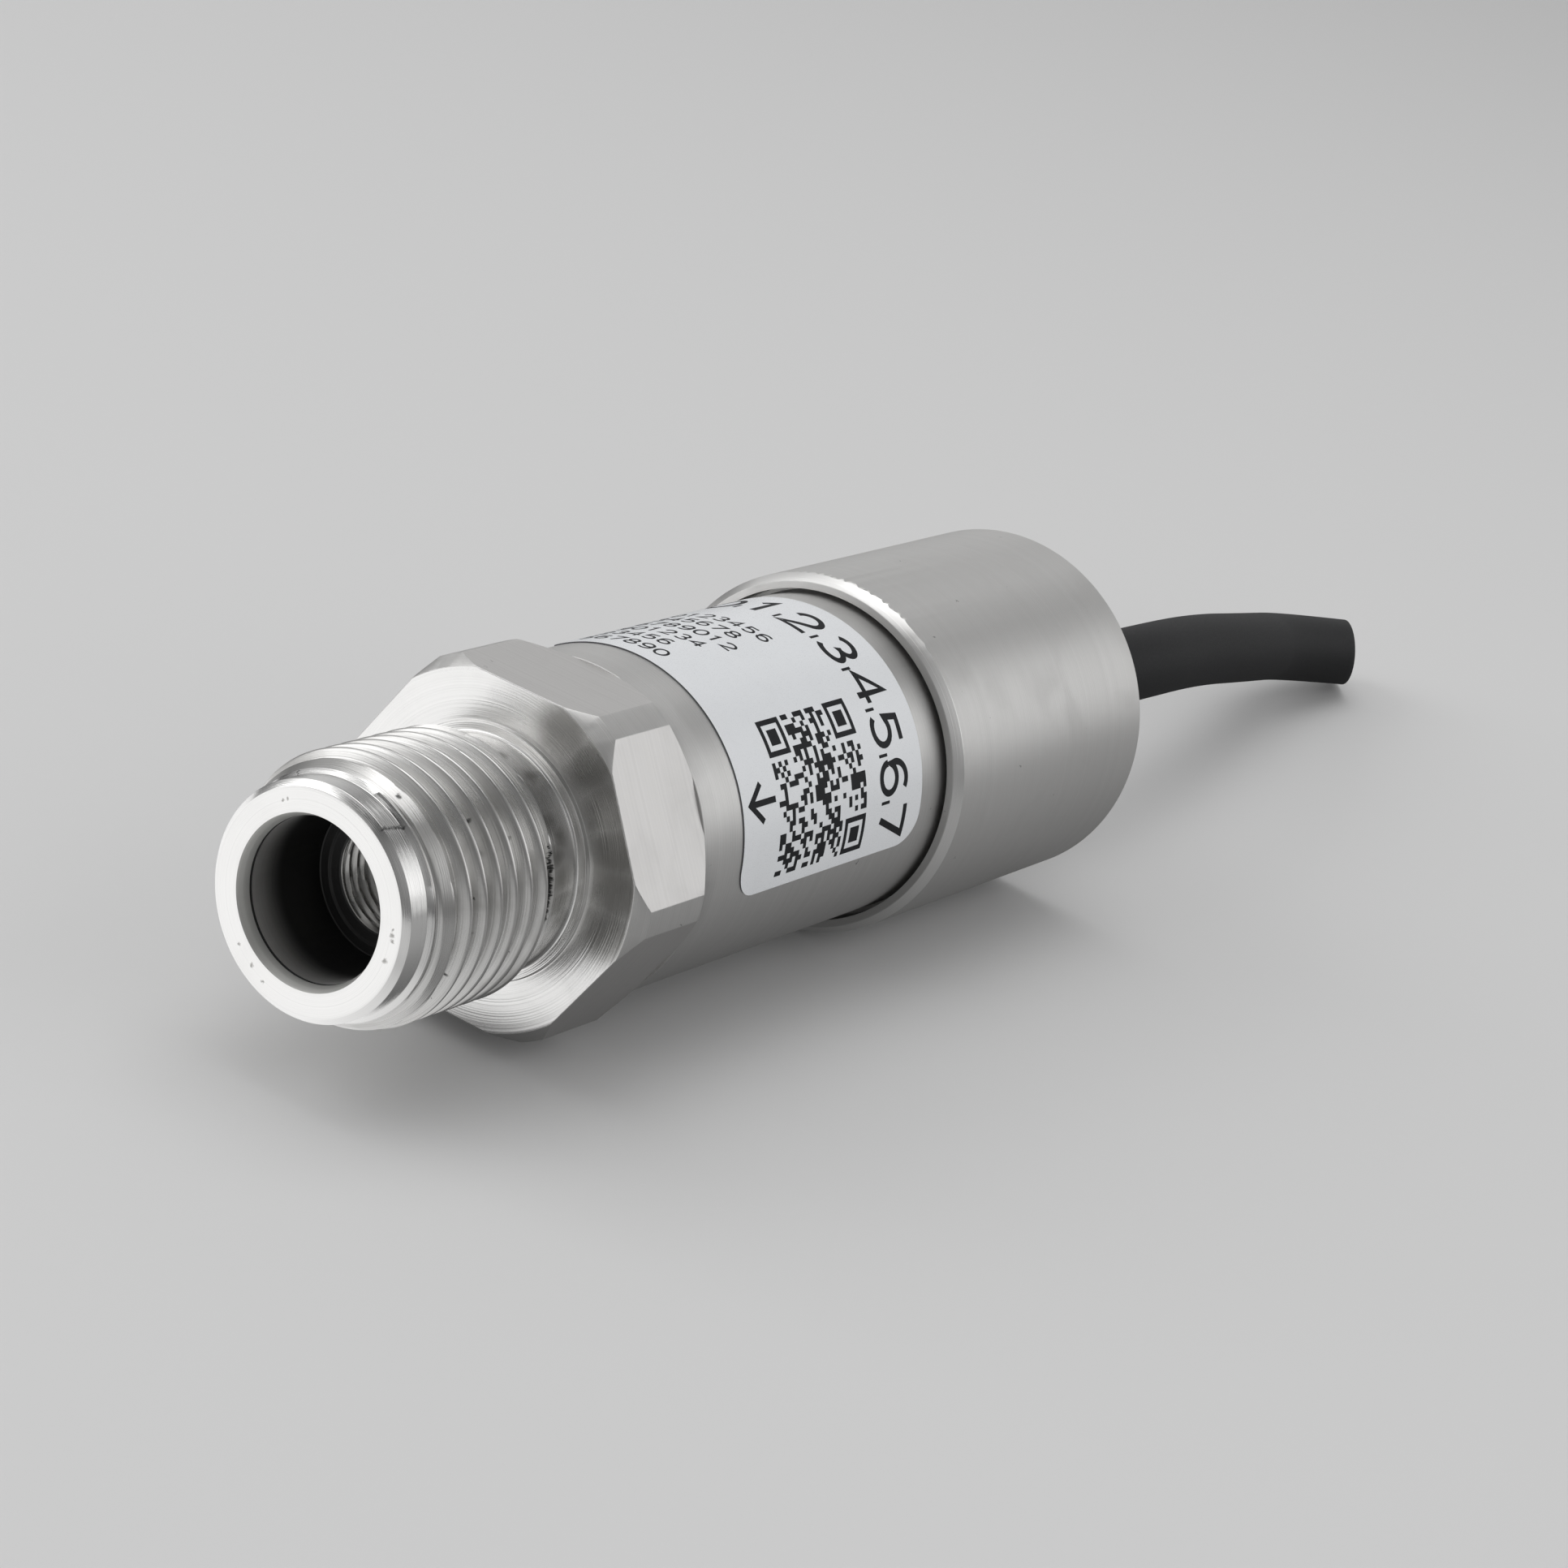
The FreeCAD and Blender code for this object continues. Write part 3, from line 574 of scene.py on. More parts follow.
# ------------------------------------------------------------------ wear, nicks and dirt
# Small marks as (station, radius, angle, size).
NOSE_NICKS = (
    (0, 7.55, 58, 0.2), (0, 7.62, 62, 0.2), (0, 7.5, 313, 0.2), (0, 7.5, 299, 0.25),
    (0, 7.7, 288, 0.2), (0, 7.7, 171, 0.22), (0, 7.75, 174, 0.25), (0, 7.8, 177, 0.22),
    (0, 7.7, 189, 0.28),
)
NOSE_SCORE = [(0.5 + 0.3 * step, 9.0, 121.0 + 0.3 * step, 0.24) for step in range(7)]
THREAD_SPECKS = (
    (3.4, 10, 110, 0.3), (8.1, 10, 114, 0.28), (8.4, 10, 130, 0.32), (7.9, 10, 145, 0.3),
    (11.9, 10, 142, 0.3), (6.7, 10, 178, 0.34), (13.2, 10, 121, 0.22), (5.2, 10, 196, 0.26),
)
# Dark line along the end of the thread, at angles 150 to 194.
THREAD_END_DARK_LINE = [(15.95, 10, 150 + step, 0.1 + 0.07 * sin(pi * step / 44)) for step in range(45)]
# Painted dark reflection: soft grey patches over the relief groove at angles 100 to 189.
RELIEF_DARK_REFLECTION = (
    (17.6, 9.2, 140, 1.5), (18.5, 9.2, 148, 1.3), (18.3, 9.2, 168, 2.2), (17.6, 9.2, 157, 1.6),
    (18.6, 9.2, 116, 1.1), (17.9, 9.2, 100, 0.8), (18.6, 9.2, 178, 2.0), (19.0, 9.2, 189, 1.6),
)
# Painted dark reflection: soft grey patches over the hex front face at angles 112 to 187.
HEX_FACE_DARK_REFLECTION = [(20.6, 12.6, angle, 3.4) for angle in range(112, 188, 15)]
# Painted highlight: bright marks along the burred edge of the cap's front chamfer.
CAP_EDGE_HIGHLIGHT = [(66.2 + 0.1 * (step % 3), 15.3, 76 + 2.5 * step, 0.2 + 0.1 * (step % 2))
            for step in range(15)]

# ------------------------------------------------------------------ materials
STEEL_BRIGHT, STEEL_DULL = (0.74, 0.735, 0.725), (0.58, 0.575, 0.565)
CUT_BRIGHT, CUT_DULL = (0.90, 0.895, 0.885), (0.80, 0.795, 0.785)
# White of the painted highlight on the cap's edge.
HIGHLIGHT_WHITE = (0.98, 0.97, 0.94)
# Nick and shade grey: the nose nicks, and the painted dark reflections on the relief and the hex
# face.
SOOT, NICK_AND_SHADE_GREY = (0.03, 0.03, 0.03), (0.19, 0.185, 0.17)
BROWN, BLUE = (0.16, 0.06, 0.025), (0.02, 0.10, 0.42)

NOSE_STEEL = turned_steel(
    "nose_steel", CUT_BRIGHT, CUT_DULL, 0.13, marks=7.0, grain=0.15,
    stains_and_painted_light=((NOSE_NICKS, 0.2, None, 0.7, NICK_AND_SHADE_GREY), (NOSE_SCORE, 0.2, 9.0, 0.8, SOOT)),
)
THREAD_STEEL = turned_steel(
    "thread_steel", STEEL_BRIGHT, (0.43, 0.425, 0.41), 0.25,
    marks=5.0, grain=0.2, cloud=0.6, dirt=0.8,
    stains_and_painted_light=((THREAD_SPECKS, 0.2, 10.0, 0.9, SOOT), (THREAD_END_DARK_LINE, 0.4, 10.0, 0.95, SOOT)),
)
RELIEF_STEEL = turned_steel(
    "relief_steel", STEEL_BRIGHT, STEEL_DULL, 0.24, marks=6.0, grain=0.15, cloud=0.6, dirt=0.6,
    stains_and_painted_light=((RELIEF_DARK_REFLECTION, 0.0, 9.2, 0.6, NICK_AND_SHADE_GREY),),
)
FACE_STEEL = turned_steel(
    "face_steel", CUT_BRIGHT, CUT_DULL, 0.2, marks=4.0, grain=0.6,
    stains_and_painted_light=((HEX_FACE_DARK_REFLECTION, 0.3, None, 0.6, NICK_AND_SHADE_GREY),),
)
TUBE_STEEL = turned_steel("tube_steel", STEEL_BRIGHT, STEEL_DULL, 0.36, marks=9.0, grain=0.3)
CAP_STEEL = turned_steel(
    "cap_steel", (0.72, 0.715, 0.705), (0.63, 0.625, 0.615), 0.38, marks=9.0, grain=0.3, cloud=0.4,
    stains_and_painted_light=((CAP_EDGE_HIGHLIGHT, 0.3, 15.3, 0.9, HIGHLIGHT_WHITE),),
)
MOUTH_STEEL = turned_steel(
    "mouth_steel", (0.76, 0.76, 0.74), (0.55, 0.55, 0.53), 0.55, marks=6.0, grain=0.0
)
CHAMFER_STEEL = turned_steel("chamfer_steel", CUT_BRIGHT, CUT_DULL, 0.3, marks=6.0, grain=0.3)
# Painted shade: the bore's steel darkens to near-black from 1.2 to 4.8 mm in.
BORE_STEEL = turned_steel(
    "bore_steel", (0.92, 0.91, 0.90), (0.70, 0.69, 0.68), 0.5, marks=6.0, grain=0.0,
    painted_depth_shade=(1.2, 4.8, grey(0.08)),
)
TAP_STEEL = turned_steel("tapped_steel", (0.60, 0.595, 0.58), (0.40, 0.395, 0.38), 0.2, marks=6.0)
FLAT_STEEL = milled_steel("flat_steel", (0.76, 0.75, 0.74), (0.66, 0.65, 0.64), 0.38)
# Painted shade: near-black in the fine groove behind the nose mouth.
GROOVE_PAINTED_SHADE = grained("groove_painted_shade", grey(0.02), 0.9, grain=12.0)
FILM = grained(
    "label_film", (0.90, 0.92, 0.945), 0.3, grain=14.0, variation=0.06, relief=0.002,
    Specular_IOR_Level=0.85,
)
# Painted shadow: dark grey on the film's thin edge and on its face against the tube.
FILM_EDGE_SHADE = grained("label_edge_painted_shade", (0.10, 0.10, 0.11), 0.6)
INK = grained("label_ink", (0.008, 0.009, 0.012), 0.5, grain=10.0, Specular_IOR_Level=0.2)
SHEATH = grained(
    "cable_sheath", (0.012, 0.0125, 0.014), 0.6, grain=9.0, relief=0.02, Specular_IOR_Level=0.3
)
CORE_STRANDS = grained("core_strands", (0.72, 0.42, 0.24), 0.3, metallic=1.0, grain=20.0)
# Painted shade: near-black shallow dish in place of the vent core's open hole.
VENT_HOLE_SHADE = grained("vent_hole_painted_shade", grey(0.02), 0.8)


# ------------------------------------------------------------------ process connection
FLAT_EDGE_ANGLE = np.arccos(FLAT_RADIUS / BAR_RADIUS)
STEELS = (
    NOSE_STEEL, THREAD_STEEL, FACE_STEEL, TUBE_STEEL, BORE_STEEL, FLAT_STEEL, RELIEF_STEEL,
    TAP_STEEL, MOUTH_STEEL, GROOVE_PAINTED_SHADE,
)


def hex_columns():
    """Angles round the axis, closer together at the edges of the flats, and each one's
    angle from the middle of its flat."""
    edge = degrees(FLAT_EDGE_ANGLE)
    near = [edge + shift for shift in (-0.9, -0.35, -0.12, 0.0, 0.12, 0.35, 0.9)]
    half = list(np.linspace(0, edge - 1.9, 15)) + near + [28.3, 30.0]
    local = np.array([-a for a in half[-2:0:-1]] + half)
    centres = np.arange(30, 390, 60)
    angles = (centres[:, None] + local[None, :]).reshape(-1)
    return np.radians(angles), np.radians(np.tile(local, 6))


def nose_profile():
    return rounded([
        (0.0, MOUTH_RADIUS + 0.03, 0),
        (0.0, NOSE_FACE_RADIUS, 0.12),
        (0.5, NOSE_RADIUS, 0.15),
        (NOSE_END, NOSE_RADIUS, 0.12),
        (LEAD_START, LEAD_RADIUS, 0),
    ])


def relief_profile():
    return rounded([
        (RUNOUT_END + 0.05, RELIEF_RADIUS, 0),
        (RELIEF_END, RELIEF_RADIUS, 0.3),
        (RELIEF_END, COLLAR_RADIUS, 0.08),
        (HEX_FRONT, COLLAR_RADIUS, 0.05),
        (HEX_FRONT, COLLAR_RADIUS + 0.15, 0),
    ], steps=5) + [(HEX_FRONT, 12.6)]


def tube_profile():
    """The tube's outside with its seal groove, its rear end, and the stepped bores back inside."""
    groove_front, groove_rear, groove_floor = SEAL_GROOVE
    return rounded([
        (33.0, TUBE_RADIUS, 0),
        (45.0, TUBE_RADIUS, 0),
        (60.0, TUBE_RADIUS, 0),
        (groove_front, TUBE_RADIUS, 0.05),
        (groove_front, groove_floor, 0.1),
        (groove_rear, groove_floor, 0.1),
        (groove_rear, TUBE_RADIUS, 0.05),
        (TUBE_REAR, TUBE_RADIUS, 0.2),
        (TUBE_REAR, TUBE_BORE_RADIUS, 0.1),
        (CLAMP_RING_REAR, TUBE_BORE_RADIUS, 0),
        (CLAMP_RING_REAR, CAPSULE_BORE_RADIUS, 0),
        (CAPSULE_FRONT, CAPSULE_BORE_RADIUS, 0),
        (CAPSULE_FRONT, CHAMBER_RADIUS, 0),
        (CHAMBER_FRONT, CHAMBER_RADIUS, 0),
        (CHAMBER_FRONT, CHANNEL_RADIUS, 0),
        (INNER_THREAD_END + INNER_THREAD_RADIUS - CHANNEL_RADIUS, CHANNEL_RADIUS, 0),
    ])


def port_profile():
    """The port from its floor to its mouth, with a fine groove behind the tapered mouth."""
    groove_radius = PORT_RADIUS + MOUTH_GROOVE_DEPTH
    return rounded([
        (PORT_DEPTH + 0.06, INNER_THREAD_RADIUS + 0.06, 0),
        (PORT_DEPTH, INNER_THREAD_RADIUS + 0.2, 0.05),
        (PORT_DEPTH, PORT_FLOOR_RADIUS, 0.04),
        (PORT_DEPTH - 0.18, PORT_FLOOR_RADIUS + 0.15, 0.04),
        (PORT_DEPTH - 0.12, PORT_RADIUS, 0.12),
        (4.5, PORT_RADIUS, 0),
        (MOUTH_DEPTH + 0.22, PORT_RADIUS, 0.03),
        (MOUTH_DEPTH + 0.17, groove_radius, 0.02),
        (MOUTH_DEPTH + 0.06, groove_radius, 0.02),
        (MOUTH_DEPTH, PORT_RADIUS + 0.01, 0.02),
        (0.03, MOUTH_RADIUS, 0),
    ])


def build_process_connection():
    """One turned and milled piece with its true thread, in place of the plain blank."""
    angles, flat_angles = hex_columns()
    columns = len(angles)
    blank = [(LEAD_START, LEAD_RADIUS), (THREAD_START, THREAD_RADIUS),
             (THREAD_END, THREAD_RADIUS), (RUNOUT_END, RELIEF_RADIUS)]
    thread_stations = np.linspace(LEAD_START + 0.05, RUNOUT_END, 150)
    inner_stations = np.linspace(INNER_THREAD_END, PORT_DEPTH + 0.12, 50)
    # Each part's rows, its steel, and the bands of its rows (first, after last) in another one.
    parts = [
        (same_all_round(nose_profile(), columns), NOSE_STEEL, {}),
        (threaded_rows(thread_stations, angles, blank), THREAD_STEEL, {}),
        (same_all_round(relief_profile(), columns), RELIEF_STEEL,
         {(4, 8): NOSE_STEEL, (18, 21): FACE_STEEL}),
        (hexagon_rows(flat_angles), TUBE_STEEL, {(0, 1): FACE_STEEL}),
        (same_all_round(tube_profile(), columns), TUBE_STEEL, {}),
        (inner_threaded_rows(inner_stations[::-1], angles)[::-1], TAP_STEEL, {}),
        # The port's groove rows get painted shade.
        (same_all_round(port_profile(), columns), BORE_STEEL,
         {(18, 30): GROOVE_PAINTED_SHADE, (33, 35): MOUTH_STEEL}),
    ]
    part_slots = []
    for part_rows, steel, bands in parts:
        slots = np.full((len(part_rows), columns), STEELS.index(steel))
        for (first, after), band_steel in bands.items():
            slots[first:after] = STEELS.index(band_steel)
        part_slots.append(slots)
    on_flat = np.abs(flat_angles) < FLAT_EDGE_ANGLE
    on_flat &= np.abs(np.roll(flat_angles, -1)) < FLAT_EDGE_ANGLE + 1e-6
    hexagon_slots = part_slots[3]
    hexagon_slots[6:11, on_flat] = STEELS.index(FLAT_STEEL)
    rows = np.concatenate([part_rows for part_rows, steel, bands in parts])
    piece = closed_lathe(
        "process_connection_turned", rows, angles, STEELS, np.concatenate(part_slots)
    )
    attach(piece, "root")
    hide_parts("process_connection")


# ------------------------------------------------------------------ rear cap
def build_rear_cap():
    """Turned cap with a slightly ragged burr where its front chamfer meets the outside."""
    angles = np.radians(np.arange(0, 360, 1.25))
    profile = rounded([
        (CAP_FRONT, CAP_MOUTH_RADIUS, 0.08),
        (CAP_FRONT, CAP_FACE_RADIUS, 0.1),
        (CAP_FRONT + CAP_CHAMFER, CAP_RADIUS, 0.12),
        (80.0, CAP_RADIUS, 0),
        (CAP_REAR, CAP_RADIUS, 0.3),
        (CAP_REAR, GLAND_RADIUS, 0.15),
        (GLAND_FLOOR, GLAND_RADIUS, 0),
        (GLAND_FLOOR, CABLE_HOLE_RADIUS, 0),
        (CAP_WALL_FRONT, CABLE_HOLE_RADIUS, 0),
        (CAP_WALL_FRONT, CAP_CAVITY_RADIUS, 0),
        (TUBE_REAR, CAP_CAVITY_RADIUS, 0),
        (TUBE_REAR, CAP_FIT_RADIUS, 0),
        (CAP_FRONT + CAP_MOUTH_DEPTH, CAP_FIT_RADIUS, 0),
        (CAP_FRONT + CAP_MOUTH_DEPTH, CAP_MOUTH_RADIUS, 0),
    ], steps=4)
    rows = same_all_round(profile, len(angles))
    burr_size, burr_middle, burr_reach = 0.3, 92, 40
    edge_rows, chamfer_rows = slice(7, 11), slice(5, 9)
    chance = random.Random(5)
    for column, angle in enumerate(np.degrees(angles)):
        share = max(0.0, 1 - ((angle - burr_middle) / burr_reach) ** 2)
        burr = burr_size * chance.random() ** 2 * share
        rows[edge_rows, column, 0] += burr
        rows[edge_rows, column, 1] += burr * 0.35
    slots = np.zeros(rows.shape[:2])
    slots[chamfer_rows] = 1
    piece = closed_lathe("rear_cap_turned", rows, angles, [CAP_STEEL, CHAMFER_STEEL], slots)
    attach(piece, "root")
    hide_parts("rear_cap")


# ------------------------------------------------------------------ label
LABEL_SPAN = radians(LABEL_HIGH - LABEL_LOW)
LABEL_LENGTH = LABEL_SPAN * LABEL_RADIUS


def label_outline(share_round):
    """Front and rear stations of the film at a share of its length round the tube."""
    from_end = min(share_round, 1 - share_round) * LABEL_LENGTH
    inset = 0.0
    if from_end < LABEL_CORNER:
        inset = LABEL_CORNER - sqrt(max(LABEL_CORNER**2 - (LABEL_CORNER - from_end)**2, 0))
    return LABEL_FRONT + inset, LABEL_REAR - inset


def build_label():
    """Film wrapped round the tube: outer face, thin edge and the face on the tube, with a painted
    shadow line on the edge.
    """
    corner_share = LABEL_CORNER / LABEL_LENGTH
    corner = (1 - np.cos(np.linspace(0, pi / 2, 14))) * corner_share
    straight = np.linspace(corner_share, 1 - corner_share, 90)[1:-1]
    shares = np.concatenate([corner, straight, (1 - corner)[::-1]])
    rows, points, faces, slots = 5, [], [], []
    for radius in (LABEL_RADIUS, TUBE_RADIUS + LABEL_GAP):
        for share in shares:
            low, high = label_outline(share)
            angle = radians(LABEL_LOW) + LABEL_SPAN * share
            points += [place(s, radius, angle) for s in np.linspace(low, high, rows)]
    layer = len(shares) * rows
    for i in range(len(shares) - 1):
        for j in range(rows - 1):
            a = i * rows + j
            faces.append((a, a + 1, a + rows + 1, a + rows))
            faces.append(tuple(layer + k for k in (a, a + rows, a + rows + 1, a + 1)))
            slots += [0, 1]
        front, rear = i * rows, i * rows + rows - 1
        faces.append((front, front + rows, front + rows + layer, front + layer))
        faces.append((rear + rows, rear, rear + layer, rear + rows + layer))
        slots += [1, 1]
    for i in (0, len(shares) - 1):
        for j in range(rows - 1):
            a = i * rows + j
            faces.append((a, a + 1, a + 1 + layer, a + layer))
            slots.append(1)
    mesh = new_mesh("label_film", points, faces, (FILM, FILM_EDGE_SHADE), slots)
    piece = finished("label_film", mesh, weighted=False)
    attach(piece, "root")
    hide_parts("label")


# ------------------------------------------------------------------ print
class Print:
    """Flat ink shapes in label millimetres: u round the tube from LABEL_LOW, v the station."""

    longest = 0.3

    def __init__(self):
        self.points, self.faces = [], []

    def strip(self, line, width, closed=False):
        """A stroke of constant width along a line of (u, v) points."""
        line = [Vector(p) for p in line]
        count = len(line)
        left, right = [], []
        for i, here in enumerate(line):
            along = []
            if i > 0 or closed:
                along.append((here - line[i - 1]).normalized())
            if i < count - 1 or closed:
                along.append((line[(i + 1) % count] - here).normalized())
            middle = sum(along, Vector((0, 0))).normalized()
            across = Vector((-middle.y, middle.x))
            stretch = 1 / max(0.5, middle.dot(along[0]))
            left.append(here + across * width / 2 * stretch)
            right.append(here - across * width / 2 * stretch)
        for i in range(count if closed else count - 1):
            j = (i + 1) % count
            self.quad(left[i], left[j], right[j], right[i])

    def quad(self, *corners):
        """Four corners, cut into lengths short enough to lie on the round film."""
        steps = [abs(corners[0][0] - corner[0]) for corner in corners[1:]]
        pieces = max(1, int(max(steps) / self.longest))
        first, second, third, fourth = (Vector(corner) for corner in corners)
        if steps[0] < steps[2]:
            first, second, third, fourth = fourth, first, second, third
        for k in range(pieces):
            a, b = k / pieces, (k + 1) / pieces
            self.block(first.lerp(second, a), first.lerp(second, b),
                       fourth.lerp(third, b), fourth.lerp(third, a))

    def block(self, *corners):
        start = len(self.points)
        for radius in (LABEL_RADIUS + INK_HEIGHT, LABEL_RADIUS + 0.001):
            for u, v in corners:
                self.points.append(place(v, radius, radians(LABEL_LOW) + u / LABEL_RADIUS))
        top, foot = [start + k for k in range(4)], [start + 4 + k for k in range(4)]
        self.faces += [tuple(top), tuple(reversed(foot))]
        for k in range(4):
            n = (k + 1) % 4
            self.faces.append((top[k], foot[k], foot[n], top[n]))

    def rectangle(self, u, v, width, height):
        self.quad((u, v), (u + width, v), (u + width, v + height), (u, v + height))

    def frame(self, u, v, side, line):
        """Square outline of one line width, with its outer corner at u, v."""
        self.rectangle(u, v, side, line)
        self.rectangle(u, v + side - line, side, line)
        self.rectangle(u, v + line, line, side - 2 * line)
        self.rectangle(u + side - line, v + line, line, side - 2 * line)

    def figure(self, digit, u, v, height, line):
        """A plain figure drawn with strokes, its foot at v and its left side at u."""
        for stroke, closed in FIGURES[digit]:
            points = [(u + x * height, v + y * height) for x, y in stroke]
            self.strip(points, line, closed)


def bow(x, y, across, up, first, last, steps=18):
    """Points on an ellipse, from one angle to another in degrees."""
    return [(x + across * cos(radians(a)), y + up * sin(radians(a)))
            for a in np.linspace(first, last, steps)]


def ring(x, y, across, up, steps=32):
    return bow(x, y, across, up, 0, 360, steps + 1)[:-1]


# Plain figures as strokes, (points, closed), one unit high.
FIGURES = (
    [(ring(0.36, 0.5, 0.36, 0.5), True)],
    [([(0.1, 0.78), (0.34, 1.0), (0.34, 0.0)], False)],
    [(bow(0.34, 0.7, 0.32, 0.3, 170, -40) + [(0.02, 0.0), (0.7, 0.0)], False)],
    [(bow(0.33, 0.74, 0.3, 0.26, 150, -80) + bow(0.33, 0.25, 0.33, 0.25, 80, -150), False)],
    [([(0.52, 0.0), (0.52, 1.0), (0.0, 0.3), (0.74, 0.3)], False)],
    [([(0.64, 1.0), (0.12, 1.0), (0.07, 0.56)] + bow(0.33, 0.32, 0.34, 0.32, 125, -145), False)],
    [(bow(0.42, 0.6, 0.38, 0.4, 55, 180) + bow(0.36, 0.31, 0.33, 0.31, 170, -180, 30), False)],
    [([(0.0, 1.0), (0.68, 1.0), (0.22, 0.0)], False)],
    [(ring(0.36, 0.75, 0.28, 0.25), True), (ring(0.36, 0.25, 0.34, 0.25), True)],
    [(bow(0.3, 0.4, 0.38, 0.4, -125, 0) + bow(0.36, 0.69, 0.33, 0.31, -10, 350, 30), False)],
)


def print_scale(ink):
    """Large figures of a plain scale down the rear of the label, with ticks between them."""
    start, foot, pitch, height, line = 1.6, 55.7, 3.86, 3.7, 0.56
    tick_place, tick_width, tick_height, last = 3.15, 0.26, 1.2, 7
    for digit in range(last + 1):
        u = start + digit * pitch
        ink.figure(digit, u, foot, height, line)
        if digit != last:
            ink.rectangle(u + tick_place, foot, tick_width, tick_height)


def print_legend(ink):
    """Rows of plain figures in place of the printed ratings."""
    start, foot, pitch, row_pitch, height, line = 2.4, 50.0, 1.4, 2.5, 1.4, 0.22
    for row, count in enumerate((7, 6, 7, 6, 5, 6)):
        for k in range(count):
            ink.figure((3 * row + k) % 10, start + k * pitch, foot - row * row_pitch, height, line)


def print_modules(ink):
    """A square of random modules with three plain corner frames. It encodes nothing."""
    chance = random.Random(41)
    cells, side, corner = 29, 12.6, 7
    module = side / cells
    left, foot = 18.75, 40.75
    far = cells - corner
    corners = ((0, 0), (0, far), (far, far))
    for row in range(cells):
        run = 0
        for column in range(cells + 1):
            near = any(a - 1 <= column <= a + corner and b - 1 <= row <= b + corner
                       for a, b in corners)
            dark = column < cells and not near and chance.random() < 0.5
            if dark:
                run += 1
            elif run:
                ink.rectangle(left + (column - run) * module, foot + row * module,
                              run * module, module)
                run = 0
    for column, row in corners:
        u, v = left + column * module, foot + row * module
        ink.frame(u, v, corner * module, module)
        ink.rectangle(u + 2 * module, v + 2 * module, 3 * module, 3 * module)


def print_arrow(ink):
    """An arrow towards the nose, which shows where the pressure comes in."""
    u, tip, shaft_front, barbs, shaft_rear = 24.9, 36.8, 37.0, 38.5, 40.3
    half_width, line = 1.5, 0.5
    ink.strip([(u, shaft_rear), (u, shaft_front)], line)
    ink.strip([(u - half_width, barbs), (u, tip), (u + half_width, barbs)], line)


def build_print():
    ink = Print()
    print_scale(ink)
    print_legend(ink)
    print_modules(ink)
    print_arrow(ink)
    piece = linked("label_print", new_mesh("label_print", ink.points, ink.faces, (INK,)))
    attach(piece, "root")


# ------------------------------------------------------------------ cable
CABLE_ROUTE = [
    (0.02925, 0.0, 0.01532),
    (0.05025, 0.0, 0.01532),
    (0.07025, -0.0019, 0.01592),
    (0.08845, 0.0004, 0.01372),
    (0.10685, 0.0032, 0.01002),
    (0.12435, 0.0069, 0.00612),
    (0.14115, 0.0044, 0.00352),
]
TRIM = Vector((0.64, -0.75, 0.19)).normalized()
CORE_OFFSET = 1.35
# Cores in the cut end: name, slot (not used), sheath of the core, its middle, angle in the cable,
# radius.
CORES = (
    ("cable_end_brown", "brown_insulation", grained("brown_core", BROWN, 0.45),
     CORE_STRANDS, 35, 0.95),
    ("cable_end_blue", "blue_insulation", grained("blue_core", BLUE, 0.45),
     CORE_STRANDS, 155, 0.95),
    # The vent core's middle is painted shade for its open hole.
    ("cable_end_vent", "vent_plastic", grained("vent_core", (0.80, 0.80, 0.78), 0.4),
     VENT_HOLE_SHADE, 275, 0.7),
)


def smooth_line(route):
    """Points of the smooth line through a cable's route."""
    curve = bpy.data.curves.new("cable_line", "CURVE")
    curve.dimensions = "3D"
    curve.resolution_u = 20
    spline = curve.splines.new("NURBS")
    spline.points.add(len(route) - 1)
    for point, passed in zip(spline.points, route):
        point.co = (*passed, 1.0)
    spline.order_u = 3
    spline.use_endpoint_u = True
    carrier = linked("cable_line", curve)
    evaluated = carrier.evaluated_get(bpy.context.evaluated_depsgraph_get())
    line = bpy.data.meshes.new_from_object(evaluated)
    points = [v.co.copy() for v in line.vertices]
    bpy.data.meshes.remove(line)
    bpy.data.objects.remove(carrier)
    return points


def trimmed(centre, along, radial):
    """Point at which a line along the cable through centre + radial meets the slanted trim."""
    return centre + radial - along * (TRIM.dot(radial) / TRIM.dot(along))


def cable_rings(line, radius, edge):
    """Centre, direction, size and share of slant of each ring, up to the trimmed end."""
    tip, before = line[-1], line[-2]
    along = (tip - before).normalized()
    end = tip - along * radius
    rings = []
    for i, here in enumerate(line):
        ahead = line[min(i + 1, len(line) - 1)] - line[max(i - 1, 0)]
        to_end = (end - here).dot(along)
        if to_end > edge * 1.5:
            rings.append((here, ahead.normalized(), radius, max(0.0, 1 - to_end / (3 * radius))))
    for turn in np.linspace(0, pi / 2, 5):
        back = edge * (1 - sin(turn))
        rings.append((end - along * back, along, radius - edge * (1 - cos(turn)), 1.0))
    return rings


def build_cable():
    """Round sheath along the smooth line, with its end trimmed at a slant."""
    line = smooth_line(CABLE_ROUTE)
    around, radius, edge = 64, CABLE_RADIUS * MM, 0.3 * MM
    points = []
    side = Vector((0, 1, 0))
    rings = cable_rings(line, radius, edge)
    for centre, along, size, slant in rings:
        side = (side - along * side.dot(along)).normalized()
        up = along.cross(side)
        for k in range(around):
            angle = 2 * pi * k / around
            radial = (side * cos(angle) + up * sin(angle)) * size
            points.append((centre + radial).lerp(trimmed(centre, along, radial), slant))
    faces = sleeve_faces(len(rings), around)
    faces.append(tuple(reversed(range(around))))
    faces.append(tuple((len(rings) - 1) * around + k for k in range(around)))
    mesh = new_mesh("signal_cable", points, faces, (SHEATH,))
    piece = finished("signal_cable", mesh, weighted=False)
    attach(piece, "root")
    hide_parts("cable")
    end, along = rings[-1][:2]
    cores = [build_cable_core(end, along, side, *core) for core in CORES]


